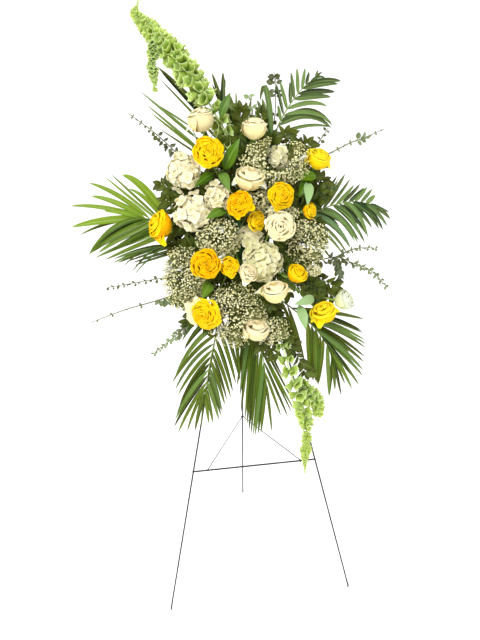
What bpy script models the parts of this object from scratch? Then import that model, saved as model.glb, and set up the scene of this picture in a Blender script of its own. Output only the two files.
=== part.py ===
"""Standing funeral spray: roses, hydrangea, gypsophila, bells of Ireland and palm on a wire easel.

Metres, +Z up, floor at Z = 0, front towards -Y. The flowers are placed in the spray's own frame:
X to the right, Y up along the easel's lean, Z out towards the front, from the foam block's middle.
"""
import math
import random

import bmesh
import bpy
from mathutils import Matrix, Vector
from mathutils.bvhtree import BVHTree

# Easel
LEAN = math.radians(15.85)
FRONT_Y = -0.2325
MIDDLE_X = 0.015
FOOT_HALF = 0.295
APEX_UP = 1.351
BACK_FOOT = 0.465
LEG_TOP_UP = 1.318
LEG_TOP_HALF = 0.009
WIRE = 0.0025
PIN = 0.0022
BRACE_WIRE = 0.0015
LOW_BAR_UP = 0.482
HIGH_BAR_UP = 1.245
HIGH_BAR_HALF = 0.075
BAR_OFFSET = 0.0053
EYE_PLAY = 0.00055
EYE_WIRE = 0.0011
BRACE_HALF = 0.145
BRACE_Z = 0.415
GAP = 0.0003
FOOT_STRAIGHT = 0.008

# Foam block and its cage
SPRAY_UP = 1.20
FOAM_HALF_X = 0.055
FOAM_HALF_Y = 0.115
FOAM_BACK = 0.0135
FOAM_FRONT = 0.0935
CAGE_WALL = 0.002
CAGE_RIM = 0.012
STRAP_Y = 0.055
STRAP_WIDTH = 0.006
HOOK_X = 0.045
HOOK_WIDTH = 0.008
HOLE_DEPTH = 0.026
STEM_DEPTH = 0.023
STEM_OUT = 0.004
HOLE = 0.0048
BUNDLE_HOLE = 0.0085
STEM = 0.0030
BUNDLE = 0.0055
ROSE_STEM = 0.0023
TWIG = 0.0028
SPRIG = 0.0027

# What every flower, leaf and stem keeps clear of its neighbours
CLEAR = 0.0006

# Colours
STEEL = (0.035, 0.040, 0.040)
FOAM_GREEN = (0.05, 0.16, 0.06)
CAGE_GREEN = (0.03, 0.10, 0.04)
YELLOW = (1.0, 0.66, 0.0)
CREAM = (0.96, 0.90, 0.66)
HYDRANGEA_WHITE = (0.90, 0.90, 0.70)
LIME = (0.42, 0.62, 0.16)
PALM = (0.08, 0.20, 0.02)
SAGE = (0.16, 0.25, 0.13)
STEM_GREEN = (0.10, 0.24, 0.05)
BABY_WHITE = (0.88, 0.88, 0.70)

# Hydrangea florets: radius, and how many to a square metre of the head's radius squared
FLORET = 0.0245
HEAD_FLORETS = 3800
HEAD_CORE = [(0, 0.60), (0.55, 0.42), (0.74, 0.0), (0.45, -0.30), (0, -0.36)]

# A petal's thickness, as a share of its bloom's radius
PETAL = 0.036

# Petal layers of an open rose, as shares of its radius: petals, half spread in degrees, then radius and
# height of foot, belly and rim
ROSE_LAYERS = [
    (4, 50, (0.22, -0.50), (0.84, -0.30), (1.00, 0.06)),
    (3, 60, (0.30, -0.24), (0.60, -0.02), (0.70, 0.34)),
]
ROSE_HEART = [(0, 0.44), (0.32, 0.24), (0.37, -0.20), (0.20, -0.75), (0, -0.75)]
BUD_NARROWER = 0.18
BUD_HIGHER = 0.24

# Where each stem stands in the foam: face, then the two places on that face
SOCKETS = {
    "rose_stems_upper_left": ("front", -0.036, 0.076),
    "rose_stems_upper_right": ("front", 0.036, 0.076),
    "rose_stems_lower_left": ("front", -0.036, -0.034),
    "rose_stems_lower_right": ("front", 0.036, -0.034),
    "hydrangea_1": ("left", 0.075, 0.052),
    "hydrangea_2": ("left", 0.036, 0.052),
    "hydrangea_3": ("front", -0.036, 0.034),
    "hydrangea_4": ("front", 0.0, -0.034),
    "hydrangea_5": ("top", 0.040, 0.052),
    "gypsophila_1": ("front", 0.036, 0.104),
    "gypsophila_2": ("front", -0.036, 0.0),
    "gypsophila_3": ("left", -0.022, 0.052),
    "gypsophila_4": ("front", -0.036, -0.100),
    "gypsophila_5": ("front", 0.036, 0.012),
    "bells_top": ("top", -0.018, 0.052),
    "bells_bottom": ("bottom", 0.030, 0.054),
    "frond_1": ("top", 0.036, 0.030),
    "frond_2": ("top", 0.0, 0.030),
    "frond_3": ("top", -0.036, 0.030),
    "frond_4": ("left", 0.026, 0.030),
    "frond_5": ("left", -0.012, 0.030),
    "frond_6": ("right", 0.030, 0.040),
    "frond_7": ("bottom", 0.036, 0.030),
    "frond_8": ("bottom", -0.036, 0.040),
    "frond_9": ("bottom", 0.0, 0.045),
    "eucalyptus_1": ("left", 0.075, 0.030),
    "eucalyptus_2": ("top", 0.014, 0.052),
    "eucalyptus_3": ("right", 0.075, 0.045),
    "eucalyptus_4": ("right", -0.030, 0.045),
    "eucalyptus_5": ("left", -0.075, 0.040),
}
FACES = {
    "front": lambda a, b: (Vector((a, b, FOAM_FRONT)), Vector((0, 0, 1))),
    "top": lambda a, b: (Vector((a, FOAM_HALF_Y, b)), Vector((0, 1, 0))),
    "bottom": lambda a, b: (Vector((a, -FOAM_HALF_Y, b)), Vector((0, -1, 0))),
    "left": lambda a, b: (Vector((-FOAM_HALF_X, a, b)), Vector((-1, 0, 0))),
    "right": lambda a, b: (Vector((FOAM_HALF_X, a, b)), Vector((1, 0, 0))),
}

# Roses: centre, radius, facing, openness from 0 (bud) to 1 (open), stem bundle
ROSES = {
    "rose_yellow_1": ((-0.098, 0.210, 0.190), 0.036, (-0.15, 0.35, 1.0), 1.0, "upper_left"),
    "rose_yellow_2": ((0.176, 0.182, 0.150), 0.031, (0.75, 0.20, 0.9), 0.7, "upper_right"),
    "rose_yellow_3": ((-0.223, 0.041, 0.130), 0.038, (-1.0, -0.10, 0.7), 1.0, "upper_left"),
    "rose_yellow_4": ((-0.033, 0.088, 0.214), 0.033, (-0.1, 0.15, 1.0), 0.9, "upper_left"),
    "rose_yellow_5": ((0.071, 0.101, 0.200), 0.032, (0.35, 0.20, 1.0), 0.9, "upper_right"),
    "rose_yellow_6": ((0.009, 0.044, 0.186), 0.027, (0.1, 0.1, 1.0), 0.7, "upper_right"),
    "rose_yellow_7": ((0.149, 0.059, 0.160), 0.022, (0.9, 0.1, 0.6), 0.4, "upper_right"),
    "rose_yellow_8": ((-0.121, -0.050, 0.214), 0.036, (-0.35, 0.10, 1.0), 1.0, "lower_left"),
    "rose_yellow_9": ((-0.062, -0.063, 0.200), 0.026, (0.0, 0.05, 1.0), 0.8, "lower_left"),
    "rose_yellow_10": ((0.105, -0.094, 0.192), 0.027, (0.55, 0.35, 0.9), 0.6, "lower_right"),
    "rose_yellow_11": ((-0.131, -0.177, 0.200), 0.040, (-0.25, 0.10, 1.0), 1.0, "lower_left"),
    "rose_yellow_12": ((0.183, -0.210, 0.160), 0.036, (0.55, -0.45, 0.9), 0.7, "lower_right"),
    "rose_cream_1": ((-0.107, 0.283, 0.140), 0.031, (-0.15, 0.60, 0.8), 0.3, "upper_left"),
    "rose_cream_2": ((0.018, 0.258, 0.160), 0.030, (0.10, 0.60, 0.8), 0.3, "upper_right"),
    "rose_cream_3": ((-0.001, 0.142, 0.172), 0.038, (0.1, 0.30, 1.0), 0.8, "upper_left"),
    "rose_cream_4": ((0.060, 0.031, 0.234), 0.036, (0.25, 0.10, 1.0), 1.0, "lower_right"),
    "rose_cream_5": ((0.046, -0.134, 0.212), 0.035, (0.15, -0.10, 1.0), 0.9, "lower_right"),
    "rose_cream_6": ((-0.001, -0.239, 0.172), 0.036, (0.0, -0.35, 1.0), 0.7, "lower_left"),
    "rose_cream_7": ((0.247, -0.188, 0.120), 0.025, (0.9, -0.10, 0.5), 0.4, "lower_right"),
    "rose_cream_8": ((-0.019, -0.083, 0.196), 0.022, (0.35, -0.10, 1.0), 0.4, "lower_left"),
}

# Hydrangea: lobes of centre, radius and facing
HYDRANGEAS = {
    "hydrangea_1": [((-0.154, 0.169, 0.130), 0.047, (-0.45, 0.35, 1.0))],
    "hydrangea_2": [((-0.142, 0.072, 0.150), 0.048, (-0.35, 0.0, 1.0))],
    "hydrangea_3": [((-0.083, 0.106, 0.162), 0.034, (-0.1, 0.1, 1.0))],
    "hydrangea_4": [((0.026, -0.063, 0.148), 0.054, (0.1, -0.1, 1.0)),
                    ((-0.002, 0.000, 0.135), 0.034, (0.0, 0.1, 1.0))],
    "hydrangea_5": [((0.081, 0.192, 0.122), 0.032, (0.3, 0.5, 1.0))],
}

# Bells of Ireland: route, then from where on it the bells grow, and how far they spread
BELLS = {
    "bells_top": [
        ([(-0.018, 0.150, 0.082), (-0.026, 0.205, 0.105), (-0.044, 0.261, 0.125), (-0.072, 0.329, 0.140),
          (-0.114, 0.408, 0.142), (-0.166, 0.478, 0.130), (-0.222, 0.528, 0.108), (-0.237, 0.562, 0.100)],
         0.24, 0.034),
        ([(-0.182, 0.494, 0.126), (-0.200, 0.470, 0.130), (-0.210, 0.436, 0.128), (-0.211, 0.395, 0.120),
          (-0.209, 0.366, 0.112)], 0.25, 0.016),
    ],
    "bells_bottom": [
        ([(0.040, -0.150, 0.082), (0.060, -0.215, 0.105), (0.082, -0.290, 0.125), (0.099, -0.379, 0.138),
          (0.118, -0.440, 0.138), (0.132, -0.520, 0.130), (0.139, -0.602, 0.120), (0.134, -0.682, 0.110)],
         0.27, 0.028),
    ],
}

# Palm fronds: route, leaflets a side, longest leaflet, how far along the leaflets begin
FRONDS = {
    "frond_1": ([(0.048, 0.165, 0.055), (0.075, 0.235, 0.078), (0.104, 0.295, 0.086), (0.150, 0.352, 0.080),
                 (0.196, 0.388, 0.062)], 8, 0.115, 0.45),
    "frond_2": ([(-0.003, 0.165, 0.045), (-0.010, 0.230, 0.055), (-0.020, 0.290, 0.062),
                 (-0.034, 0.345, 0.058), (-0.040, 0.380, 0.050)], 6, 0.085, 0.45),
    "frond_3": ([(-0.050, 0.165, 0.052), (-0.092, 0.215, 0.062), (-0.130, 0.262, 0.066),
                 (-0.175, 0.325, 0.062), (-0.198, 0.358, 0.052)], 7, 0.095, 0.40),
    "frond_4": ([(-0.100, 0.036, 0.052), (-0.150, 0.056, 0.068), (-0.215, 0.082, 0.080),
                 (-0.290, 0.102, 0.078), (-0.355, 0.108, 0.062)], 10, 0.135, 0.30),
    "frond_5": ([(-0.100, -0.020, 0.048), (-0.150, -0.018, 0.060), (-0.205, -0.012, 0.064),
                 (-0.262, -0.016, 0.055), (-0.305, -0.026, 0.045)], 7, 0.095, 0.40),
    "frond_6": ([(0.100, 0.030, 0.055), (0.160, 0.042, 0.070), (0.228, 0.064, 0.076), (0.291, 0.072, 0.070),
                 (0.350, 0.060, 0.052)], 10, 0.115, 0.35),
    "frond_7": ([(0.060, -0.160, 0.060), (0.118, -0.210, 0.082), (0.172, -0.262, 0.090),
                 (0.212, -0.318, 0.084), (0.238, -0.366, 0.068)], 9, 0.125, 0.45),
    "frond_8": ([(-0.050, -0.165, 0.072), (-0.082, -0.225, 0.092), (-0.108, -0.285, 0.102),
                 (-0.130, -0.370, 0.102), (-0.146, -0.450, 0.084)], 10, 0.130, 0.35),
    "frond_9": ([(0.002, -0.165, 0.076), (0.008, -0.235, 0.096), (0.014, -0.310, 0.104),
                 (0.026, -0.400, 0.098), (0.032, -0.466, 0.080)], 9, 0.125, 0.40),
}

# Eucalyptus: branches of route, leaf length and number of leaf pairs; the first branch is the main twig
EUCALYPTUS = {
    "eucalyptus_1": [
        ([(-0.100, 0.110, 0.040), (-0.138, 0.180, 0.050), (-0.209, 0.258, 0.056), (-0.284, 0.320, 0.048)],
         0.026, 5),
    ],
    "eucalyptus_2": [
        ([(0.030, 0.165, 0.078), (0.062, 0.225, 0.066), (0.088, 0.300, 0.060), (0.094, 0.405, 0.045)],
         0.024, 4),
        ([(0.046, 0.195, 0.072), (0.034, 0.250, 0.082), (0.026, 0.310, 0.078), (0.022, 0.350, 0.070)],
         0.032, 2),
    ],
    "eucalyptus_3": [
        ([(0.110, 0.110, 0.058), (0.170, 0.165, 0.062), (0.240, 0.222, 0.058), (0.311, 0.241, 0.050),
          (0.387, 0.257, 0.036)], 0.023, 5),
        ([(0.170, 0.165, 0.062), (0.190, 0.215, 0.070), (0.226, 0.262, 0.064)], 0.032, 2),
    ],
    "eucalyptus_4": [
        ([(0.110, -0.042, 0.058), (0.180, -0.078, 0.068), (0.244, -0.075, 0.068), (0.290, -0.094, 0.060),
          (0.350, -0.124, 0.050), (0.402, -0.176, 0.040)], 0.026, 5),
        ([(0.244, -0.075, 0.068), (0.300, -0.056, 0.062), (0.368, -0.060, 0.050)], 0.024, 2),
    ],
    "eucalyptus_5": [
        ([(-0.100, -0.106, 0.052), (-0.160, -0.108, 0.062), (-0.235, -0.102, 0.066),
          (-0.310, -0.110, 0.060), (-0.385, -0.120, 0.050)], 0.024, 4),
        ([(-0.145, -0.108, 0.060), (-0.215, -0.150, 0.070), (-0.340, -0.182, 0.056),
          (-0.436, -0.213, 0.046)], 0.022, 3),
        ([(-0.130, -0.107, 0.056), (-0.175, -0.200, 0.070), (-0.225, -0.262, 0.068),
          (-0.276, -0.312, 0.060)], 0.025, 3),
    ],
}

# Gypsophila: clouds of centre and half sizes
GYPSOPHILA = {
    "gypsophila_1": [((0.066, 0.180, 0.165), (0.085, 0.055, 0.030))],
    "gypsophila_2": [((-0.080, 0.005, 0.165), (0.055, 0.048, 0.030))],
    "gypsophila_3": [((-0.175, -0.095, 0.135), (0.055, 0.080, 0.035))],
    "gypsophila_4": [((-0.050, -0.195, 0.165), (0.075, 0.080, 0.030)),
                     ((0.040, -0.250, 0.140), (0.055, 0.035, 0.025))],
    "gypsophila_5": [((0.145, -0.020, 0.150), (0.055, 0.055, 0.035)),
                     ((0.075, 0.055, 0.165), (0.045, 0.025, 0.025))],
}

# Broad leaves among the roses: stem bundle, base, tip, width
BROAD_LEAVES = [
    ("upper_left", (-0.052, 0.170, 0.160), (-0.040, 0.250, 0.185), 0.034),
    ("upper_left", (-0.062, 0.140, 0.150), (-0.105, 0.158, 0.205), 0.030),
    ("upper_right", (0.110, 0.130, 0.130), (0.150, 0.205, 0.140), 0.034),
    ("upper_right", (0.118, 0.120, 0.130), (0.150, 0.118, 0.190), 0.028),
    ("lower_left", (-0.070, -0.105, 0.150), (-0.105, -0.118, 0.215), 0.034),
    ("lower_right", (0.105, -0.150, 0.150), (0.128, -0.205, 0.190), 0.036),
    ("lower_right", (0.140, -0.130, 0.120), (0.215, -0.130, 0.110), 0.034),
]


class Space:
    """Solids that are already there, and whether a new piece keeps clear of them."""

    def __init__(self):
        self.solids = []

    def add(self, bm):
        low, high = bounds(bm, 0.0)
        self.solids.append((BVHTree.FromBMesh(bm), low, high))

    def is_clear(self, bm, margin):
        low, high = bounds(bm, margin)
        tree = None
        for other, other_low, other_high in self.solids:
            if any(low[k] > other_high[k] or high[k] < other_low[k] for k in range(3)):
                continue
            if tree is None:
                tree = BVHTree.FromBMesh(bm)
            if tree.overlap(other):
                return False
            if any(other.find_nearest(v.co, margin)[0] is not None for v in bm.verts):
                return False
        return True


def bounds(bm, margin):
    low = [min(v.co[k] for v in bm.verts) - margin for k in range(3)]
    high = [max(v.co[k] for v in bm.verts) + margin for k in range(3)]
    return low, high


def clear_scene():
    for old in list(bpy.data.objects):
        bpy.data.objects.remove(old, do_unlink=True)


def new_collection(name):
    collection = bpy.data.collections.new(name)
    bpy.context.scene.collection.children.link(collection)
    return collection


def material(name, colour, roughness, metallic=0.0):
    made = bpy.data.materials.new(name)
    made.use_nodes = True
    shader = made.node_tree.nodes["Principled BSDF"]
    shader.inputs["Base Color"].default_value = (*colour, 1.0)
    shader.inputs["Roughness"].default_value = roughness
    shader.inputs["Metallic"].default_value = metallic
    return made


def on_lean(x, up, out):
    """A point of the easel's front frame: across, up the lean from the floor line, out to the front."""
    return Vector((MIDDLE_X + x, FRONT_Y + up * math.sin(LEAN) - out * math.cos(LEAN),
                   up * math.cos(LEAN) + out * math.sin(LEAN)))


def spray_frame():
    right = Vector((1, 0, 0))
    up = Vector((0, math.sin(LEAN), math.cos(LEAN)))
    turn = Matrix((right, up, right.cross(up))).transposed().to_4x4()
    return Matrix.Translation(on_lean(0, SPRAY_UP, 0)) @ turn


def bezier(p0, p1, p2, p3, count):
    points = []
    for i in range(count + 1):
        t = i / count
        s = 1 - t
        points.append(p0 * s ** 3 + p1 * 3 * s * s * t + p2 * 3 * s * t * t + p3 * t ** 3)
    return points


def smooth_route(stops, steps, lead=None):
    """A smooth curve through the stops, with steps between two of them, that sets off along lead."""
    stops = [Vector(p) for p in stops]
    points = [stops[0]]
    for i in range(len(stops) - 1):
        before = stops[max(i - 1, 0)]
        after = stops[min(i + 2, len(stops) - 1)]
        a, b = stops[i], stops[i + 1]
        leave = (b - before) / 6
        if i == 0 and lead is not None:
            leave = lead * (b - a).length / 3
        points += bezier(a, a + leave, b - (after - a) / 6, b, steps)[1:]
    return points


def tangents(points):
    found = []
    for i in range(len(points)):
        found.append((points[min(i + 1, len(points) - 1)] - points[max(i - 1, 0)]).normalized())
    return found


def loft(rings, tip=None):
    """A closed solid through rings of equal length, ending in a cap or in a tip."""
    bm = bmesh.new()
    rows = [[bm.verts.new(p) for p in ring] for ring in rings]
    count = len(rows[0])
    bm.faces.new(rows[0])
    for a, b in zip(rows, rows[1:]):
        for i in range(count):
            j = (i + 1) % count
            bm.faces.new((a[i], a[j], b[j]))
            bm.faces.new((a[i], b[j], b[i]))
    if tip is None:
        bm.faces.new(rows[-1])
    else:
        point = bm.verts.new(tip)
        for i in range(count):
            bm.faces.new((rows[-1][i], rows[-1][(i + 1) % count], point))
    bmesh.ops.recalc_face_normals(bm, faces=bm.faces)
    return bm


def rod(points, radii, sides):
    """A stem or twig along points, with a radius at each of them."""
    ahead = tangents(points)
    side = ahead[0].orthogonal().normalized()
    rings = []
    for point, along, radius in zip(points, ahead, radii):
        side = (side - along * side.dot(along)).normalized()
        across = along.cross(side)
        ring = []
        for i in range(sides):
            turn = 2 * math.pi * i / sides
            ring.append(point + (side * math.cos(turn) + across * math.sin(turn)) * radius)
        rings.append(ring)
    return loft(rings)


def needle(base, tip, radius):
    """A three-sided stalk that runs to a point."""
    along = (tip - base).normalized()
    side = along.orthogonal().normalized()
    across = along.cross(side)
    ring = []
    for i in range(3):
        turn = 2 * math.pi * i / 3
        ring.append(base + (side * math.cos(turn) + across * math.sin(turn)) * radius)
    return loft([ring], tip)


def bloom_twig(root, centre, size):
    """A three-sided twig that starts in a point, with a bloom the size of a bead at its end."""
    along = (centre - root).normalized()
    side = along.orthogonal().normalized()
    across = along.cross(side)
    bm = bmesh.new()
    rings = []
    for ahead, radius in ((-0.7, 0.0008), (0.2, size)):
        spot = centre + along * size * ahead
        corners = []
        for i in range(3):
            turn = 2 * math.pi * i / 3
            corners.append(bm.verts.new(spot + (side * math.cos(turn) + across * math.sin(turn)) * radius))
        rings.append(corners)
    foot, top = bm.verts.new(root), bm.verts.new(centre + along * size * 0.75)
    for i in range(3):
        j = (i + 1) % 3
        bm.faces.new((foot, rings[0][i], rings[0][j]))
        bm.faces.new((rings[0][i], rings[1][i], rings[1][j]))
        bm.faces.new((rings[0][i], rings[1][j], rings[0][j]))
        bm.faces.new((rings[1][i], top, rings[1][j]))
    bmesh.ops.recalc_face_normals(bm, faces=bm.faces)
    return bm


def blade(base, tip, width, face, droop):
    """A narrow folded leaflet that starts and ends in a point, with its ridge the given way."""
    span = tip - base
    side = span.cross(face).normalized()
    lift = side.cross(span).normalized()
    bm = bmesh.new()
    root, end = bm.verts.new(base), bm.verts.new(tip)
    middle = base + span * 0.42 + lift * droop
    fold = lift * width * 0.10
    ring = [bm.verts.new(p) for p in (middle - side * width / 2 - fold, middle + side * width / 2 - fold,
                                      middle + fold)]
    for i in range(3):
        bm.faces.new((root, ring[i], ring[(i + 1) % 3]))
        bm.faces.new((end, ring[i], ring[(i + 1) % 3]))
    bmesh.ops.recalc_face_normals(bm, faces=bm.faces)
    return bm


def leaf(base, tip, width, face):
    """A broad leaf: a thin lens, folded a little along its midrib."""
    span = tip - base
    side = span.cross(face).normalized()
    lift = side.cross(span).normalized()
    bm = bmesh.new()
    rim = []
    for t, across in ((0, 0), (0.30, 0.46), (0.72, 0.38), (1, 0), (0.72, -0.38), (0.30, -0.46)):
        rise = lift * (abs(across) * 0.30 - 0.25 * t * t) * width
        rim.append(bm.verts.new(base + span * t + side * across * width + rise))
    middle = base + span * 0.45 - lift * 0.04 * width
    for thick in (0.0009, -0.0009):
        apex = bm.verts.new(middle + lift * thick)
        for i in range(len(rim)):
            bm.faces.new((rim[i], rim[(i + 1) % len(rim)], apex))
    bmesh.ops.recalc_face_normals(bm, faces=bm.faces)
    return bm


def small_leaf(base, tip, width, face):
    """A small eucalyptus leaf: a thin kite with its ridge towards face."""
    span = tip - base
    side = span.cross(face).normalized()
    lift = side.cross(span).normalized()
    bm = bmesh.new()
    root, end = bm.verts.new(base), bm.verts.new(tip)
    middle = base + span * 0.58
    corners = (middle - side * width / 2, middle + side * width / 2, middle + lift * 0.0022)
    ring = [bm.verts.new(p) for p in corners]
    for i in range(3):
        bm.faces.new((root, ring[i], ring[(i + 1) % 3]))
        bm.faces.new((end, ring[i], ring[(i + 1) % 3]))
    bmesh.ops.recalc_face_normals(bm, faces=bm.faces)
    return bm


def turned(profile, sides):
    """A closed turned solid from a profile of radius and height that runs from its top to its foot."""
    line = bmesh.new()
    points = [line.verts.new((radius, 0, height)) for radius, height in profile]
    for a, b in zip(points, points[1:]):
        line.edges.new((a, b))
    guide = to_object(line, "profile", model)
    screw = guide.modifiers.new("turn", "SCREW")
    screw.steps = screw.render_steps = sides
    screw.use_merge_vertices = True
    screw.merge_threshold = 0.00001
    bm = bmesh.new()
    bm.from_mesh(guide.evaluated_get(bpy.context.evaluated_depsgraph_get()).to_mesh())
    bpy.data.objects.remove(guide, do_unlink=True)
    bmesh.ops.remove_doubles(bm, verts=bm.verts, dist=0.00001)
    bmesh.ops.triangulate(bm, faces=bm.faces)
    bmesh.ops.recalc_face_normals(bm, faces=bm.faces)
    return bm


def petal(turn, spread, foot, belly, rim, lean):
    """A rose petal as a thin cupped lens on a pointed foot; foot, belly and rim are radius and height."""
    bm = bmesh.new()

    def spot(u, radius, height):
        angle = turn + u * spread
        return bm.verts.new((radius * math.cos(angle), radius * math.sin(angle), height))

    edge = [spot(u, rim[0] + lean * u, rim[1] - 0.20 * rim[0] * u * u) for u in (-1, 0, 1)]
    corners = [spot(0, *foot)] + edge
    for thick in (PETAL / 2, -PETAL / 2):
        heart = spot(0, belly[0] + thick, belly[1])
        for k in range(4):
            bm.faces.new((corners[k], corners[(k + 1) % 4], heart))
    bmesh.ops.recalc_face_normals(bm, faces=bm.faces)
    return bm


def floret(centre, outward, root, radius, roll):
    """A hydrangea floret with four petals, whose stalk runs to the root."""
    side = outward.orthogonal().normalized()
    across = outward.cross(side)
    bm = bmesh.new()
    rim = []
    for i in range(8):
        turn = roll + math.pi * i / 4
        reach, lift = (radius, radius * 0.10) if i % 2 == 0 else (radius * 0.52, 0.0)
        rim.append(bm.verts.new(centre + (side * math.cos(turn) + across * math.sin(turn)) * reach
                                + outward * lift))
    for apex in (bm.verts.new(centre + outward * radius * 0.02), bm.verts.new(root)):
        for i in range(8):
            bm.faces.new((rim[i], rim[(i + 1) % 8], apex))
    bmesh.ops.recalc_face_normals(bm, faces=bm.faces)
    return bm


def bell(root, outward, radius, length):
    """One open bell, with its foot in the stem."""
    side = outward.orthogonal().normalized()
    across = outward.cross(side)
    bm = bmesh.new()
    rim = []
    for i in range(4):
        turn = math.pi * i / 2
        rim.append(bm.verts.new(root + outward * length
                                + (side * math.cos(turn) + across * math.sin(turn)) * radius))
    for apex in (bm.verts.new(root), bm.verts.new(root + outward * length * 0.45)):
        for i in range(4):
            bm.faces.new((rim[i], rim[(i + 1) % 4], apex))
    bmesh.ops.recalc_face_normals(bm, faces=bm.faces)
    return bm


def box(corner, other):
    """A box with its edges along the axes, between two opposite corners."""
    low = Vector([min(a, b) for a, b in zip(corner, other)])
    high = Vector([max(a, b) for a, b in zip(corner, other)])
    bm = bmesh.new()
    bmesh.ops.create_cube(bm, size=1.0)
    bmesh.ops.scale(bm, vec=high - low, verts=bm.verts)
    bmesh.ops.translate(bm, vec=(low + high) / 2, verts=bm.verts)
    return bm


def to_object(bm, name, collection, finish=None):
    mesh = bpy.data.meshes.new(name)
    bm.to_mesh(mesh)
    bm.free()
    made = bpy.data.objects.new(name, mesh)
    collection.objects.link(made)
    if finish is not None:
        mesh.materials.append(finish)
    return made


def largest_body(bm):
    """Drops every loose scrap and sealed hollow, and keeps the largest body."""
    left = set(bm.verts)
    bodies = []
    while left:
        body, front = set(), [left.pop()]
        while front:
            v = front.pop()
            body.add(v)
            for edge in v.link_edges:
                other = edge.other_vert(v)
                if other in left:
                    left.remove(other)
                    front.append(other)
        bodies.append(body)
    bodies.sort(key=len)
    for body in bodies[:-1]:
        bmesh.ops.delete(bm, geom=list(body), context="VERTS")


def fuse(name, pieces, finish, parent=None):
    """Joins pieces that run into each other as one named solid."""
    scraps = new_collection("joining")
    first = to_object(pieces[0], "first", model)
    for piece in pieces[1:]:
        to_object(piece, "repeat", scraps)
    if len(pieces) > 1:
        join = first.modifiers.new("join", "BOOLEAN")
        join.operation = "UNION"
        join.operand_type = "COLLECTION"
        join.collection = scraps
        join.solver = "MANIFOLD"
    ready = first.evaluated_get(bpy.context.evaluated_depsgraph_get())
    bm = bmesh.new()
    bm.from_mesh(ready.to_mesh())
    for old in list(scraps.objects) + [first]:
        bpy.data.objects.remove(old, do_unlink=True)
    bpy.data.collections.remove(scraps)
    bmesh.ops.triangulate(bm, faces=bm.faces)
    largest_body(bm)
    if parent is not None:
        taken.add(bm)
    made = to_object(bm, name, model, finish)
    made.parent = parent
    return made


def wire(name, points, radius, finish, resolution=2):
    """A bent wire with flat ends."""
    curve = bpy.data.curves.new(name, "CURVE")
    curve.dimensions = "3D"
    spline = curve.splines.new("POLY")
    spline.points.add(len(points) - 1)
    for slot, point in zip(spline.points, points):
        slot.co = (*point, 1)
    curve.bevel_depth = radius
    curve.bevel_resolution = resolution
    curve.use_fill_caps = True
    curve.materials.append(finish)
    made = bpy.data.objects.new(name, curve)
    model.objects.link(made)
    return made


def wire_solid(points, radius, resolution=2):
    """The same wire as a closed mesh, for joining."""
    guide = wire("guide", points, radius, steel, resolution)
    ready = guide.evaluated_get(bpy.context.evaluated_depsgraph_get())
    bm = bmesh.new()
    bm.from_mesh(ready.to_mesh())
    bpy.data.objects.remove(guide, do_unlink=True)
    bmesh.ops.remove_doubles(bm, verts=bm.verts, dist=0.00001)
    bmesh.ops.triangulate(bm, faces=bm.faces)
    bmesh.ops.recalc_face_normals(bm, faces=bm.faces)
    return bm


def eye_radius(shaft):
    return shaft + EYE_PLAY + EYE_WIRE


def eye(centre, shaft):
    """A ring bent from wire round a shaft that runs along X."""
    bpy.ops.mesh.primitive_torus_add(major_segments=8, minor_segments=4, major_radius=eye_radius(shaft),
                                     minor_radius=EYE_WIRE)
    ring = bpy.context.object
    bm = bmesh.new()
    bm.from_mesh(ring.data)
    bpy.data.objects.remove(ring, do_unlink=True)
    turn = Matrix.Rotation(math.radians(90), 4, "Y")
    bmesh.ops.transform(bm, matrix=Matrix.Translation(centre) @ turn, verts=bm.verts)
    bmesh.ops.triangulate(bm, faces=bm.faces)
    return bm


def make_easel():
    """Front frame of two legs and two bars, a back leg on the top pin, and the V brace in two arms."""
    for name, side in (("leg_front_left", -1), ("leg_front_right", 1)):
        ankle = on_lean(side * FOOT_HALF, FOOT_STRAIGHT, 0)
        foot = Vector((ankle.x, ankle.y, 0))
        shoulder = on_lean(side * LEG_TOP_HALF, LEG_TOP_UP - 0.010, 0)
        wire(name, [foot, ankle, shoulder, on_lean(side * LEG_TOP_HALF, LEG_TOP_UP, 0)], WIRE, steel)
    low_half = FOOT_HALF * (1 - LOW_BAR_UP / APEX_UP) + 0.004
    wire("crossbar_low", [on_lean(-low_half, LOW_BAR_UP, -BAR_OFFSET),
                          on_lean(low_half, LOW_BAR_UP, -BAR_OFFSET)], WIRE, steel)
    wire("crossbar_high", [on_lean(-HIGH_BAR_HALF, HIGH_BAR_UP, BAR_OFFSET),
                           on_lean(HIGH_BAR_HALF, HIGH_BAR_UP, BAR_OFFSET)], WIRE, steel)
    pin = on_lean(0, LEG_TOP_UP + PIN + GAP, 0)
    wire("hinge_pin", [pin + Vector((-0.013, 0, 0)), pin + Vector((0.013, 0, 0))], PIN, steel)
    foot = Vector((MIDDLE_X, FRONT_Y + BACK_FOOT, 0))
    ankle = foot + Vector((0, 0, FOOT_STRAIGHT))
    top = pin + (ankle - pin).normalized() * eye_radius(PIN)
    turn_on(pin, fuse("back_leg", [wire_solid([top, ankle, foot], WIRE), eye(pin, PIN)], steel))
    make_brace(pin, ankle)


def turn_on(pivot, made):
    """Puts a moving piece's origin on its hinge."""
    made.data.transform(Matrix.Translation(-pivot))
    made.location = pivot


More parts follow.
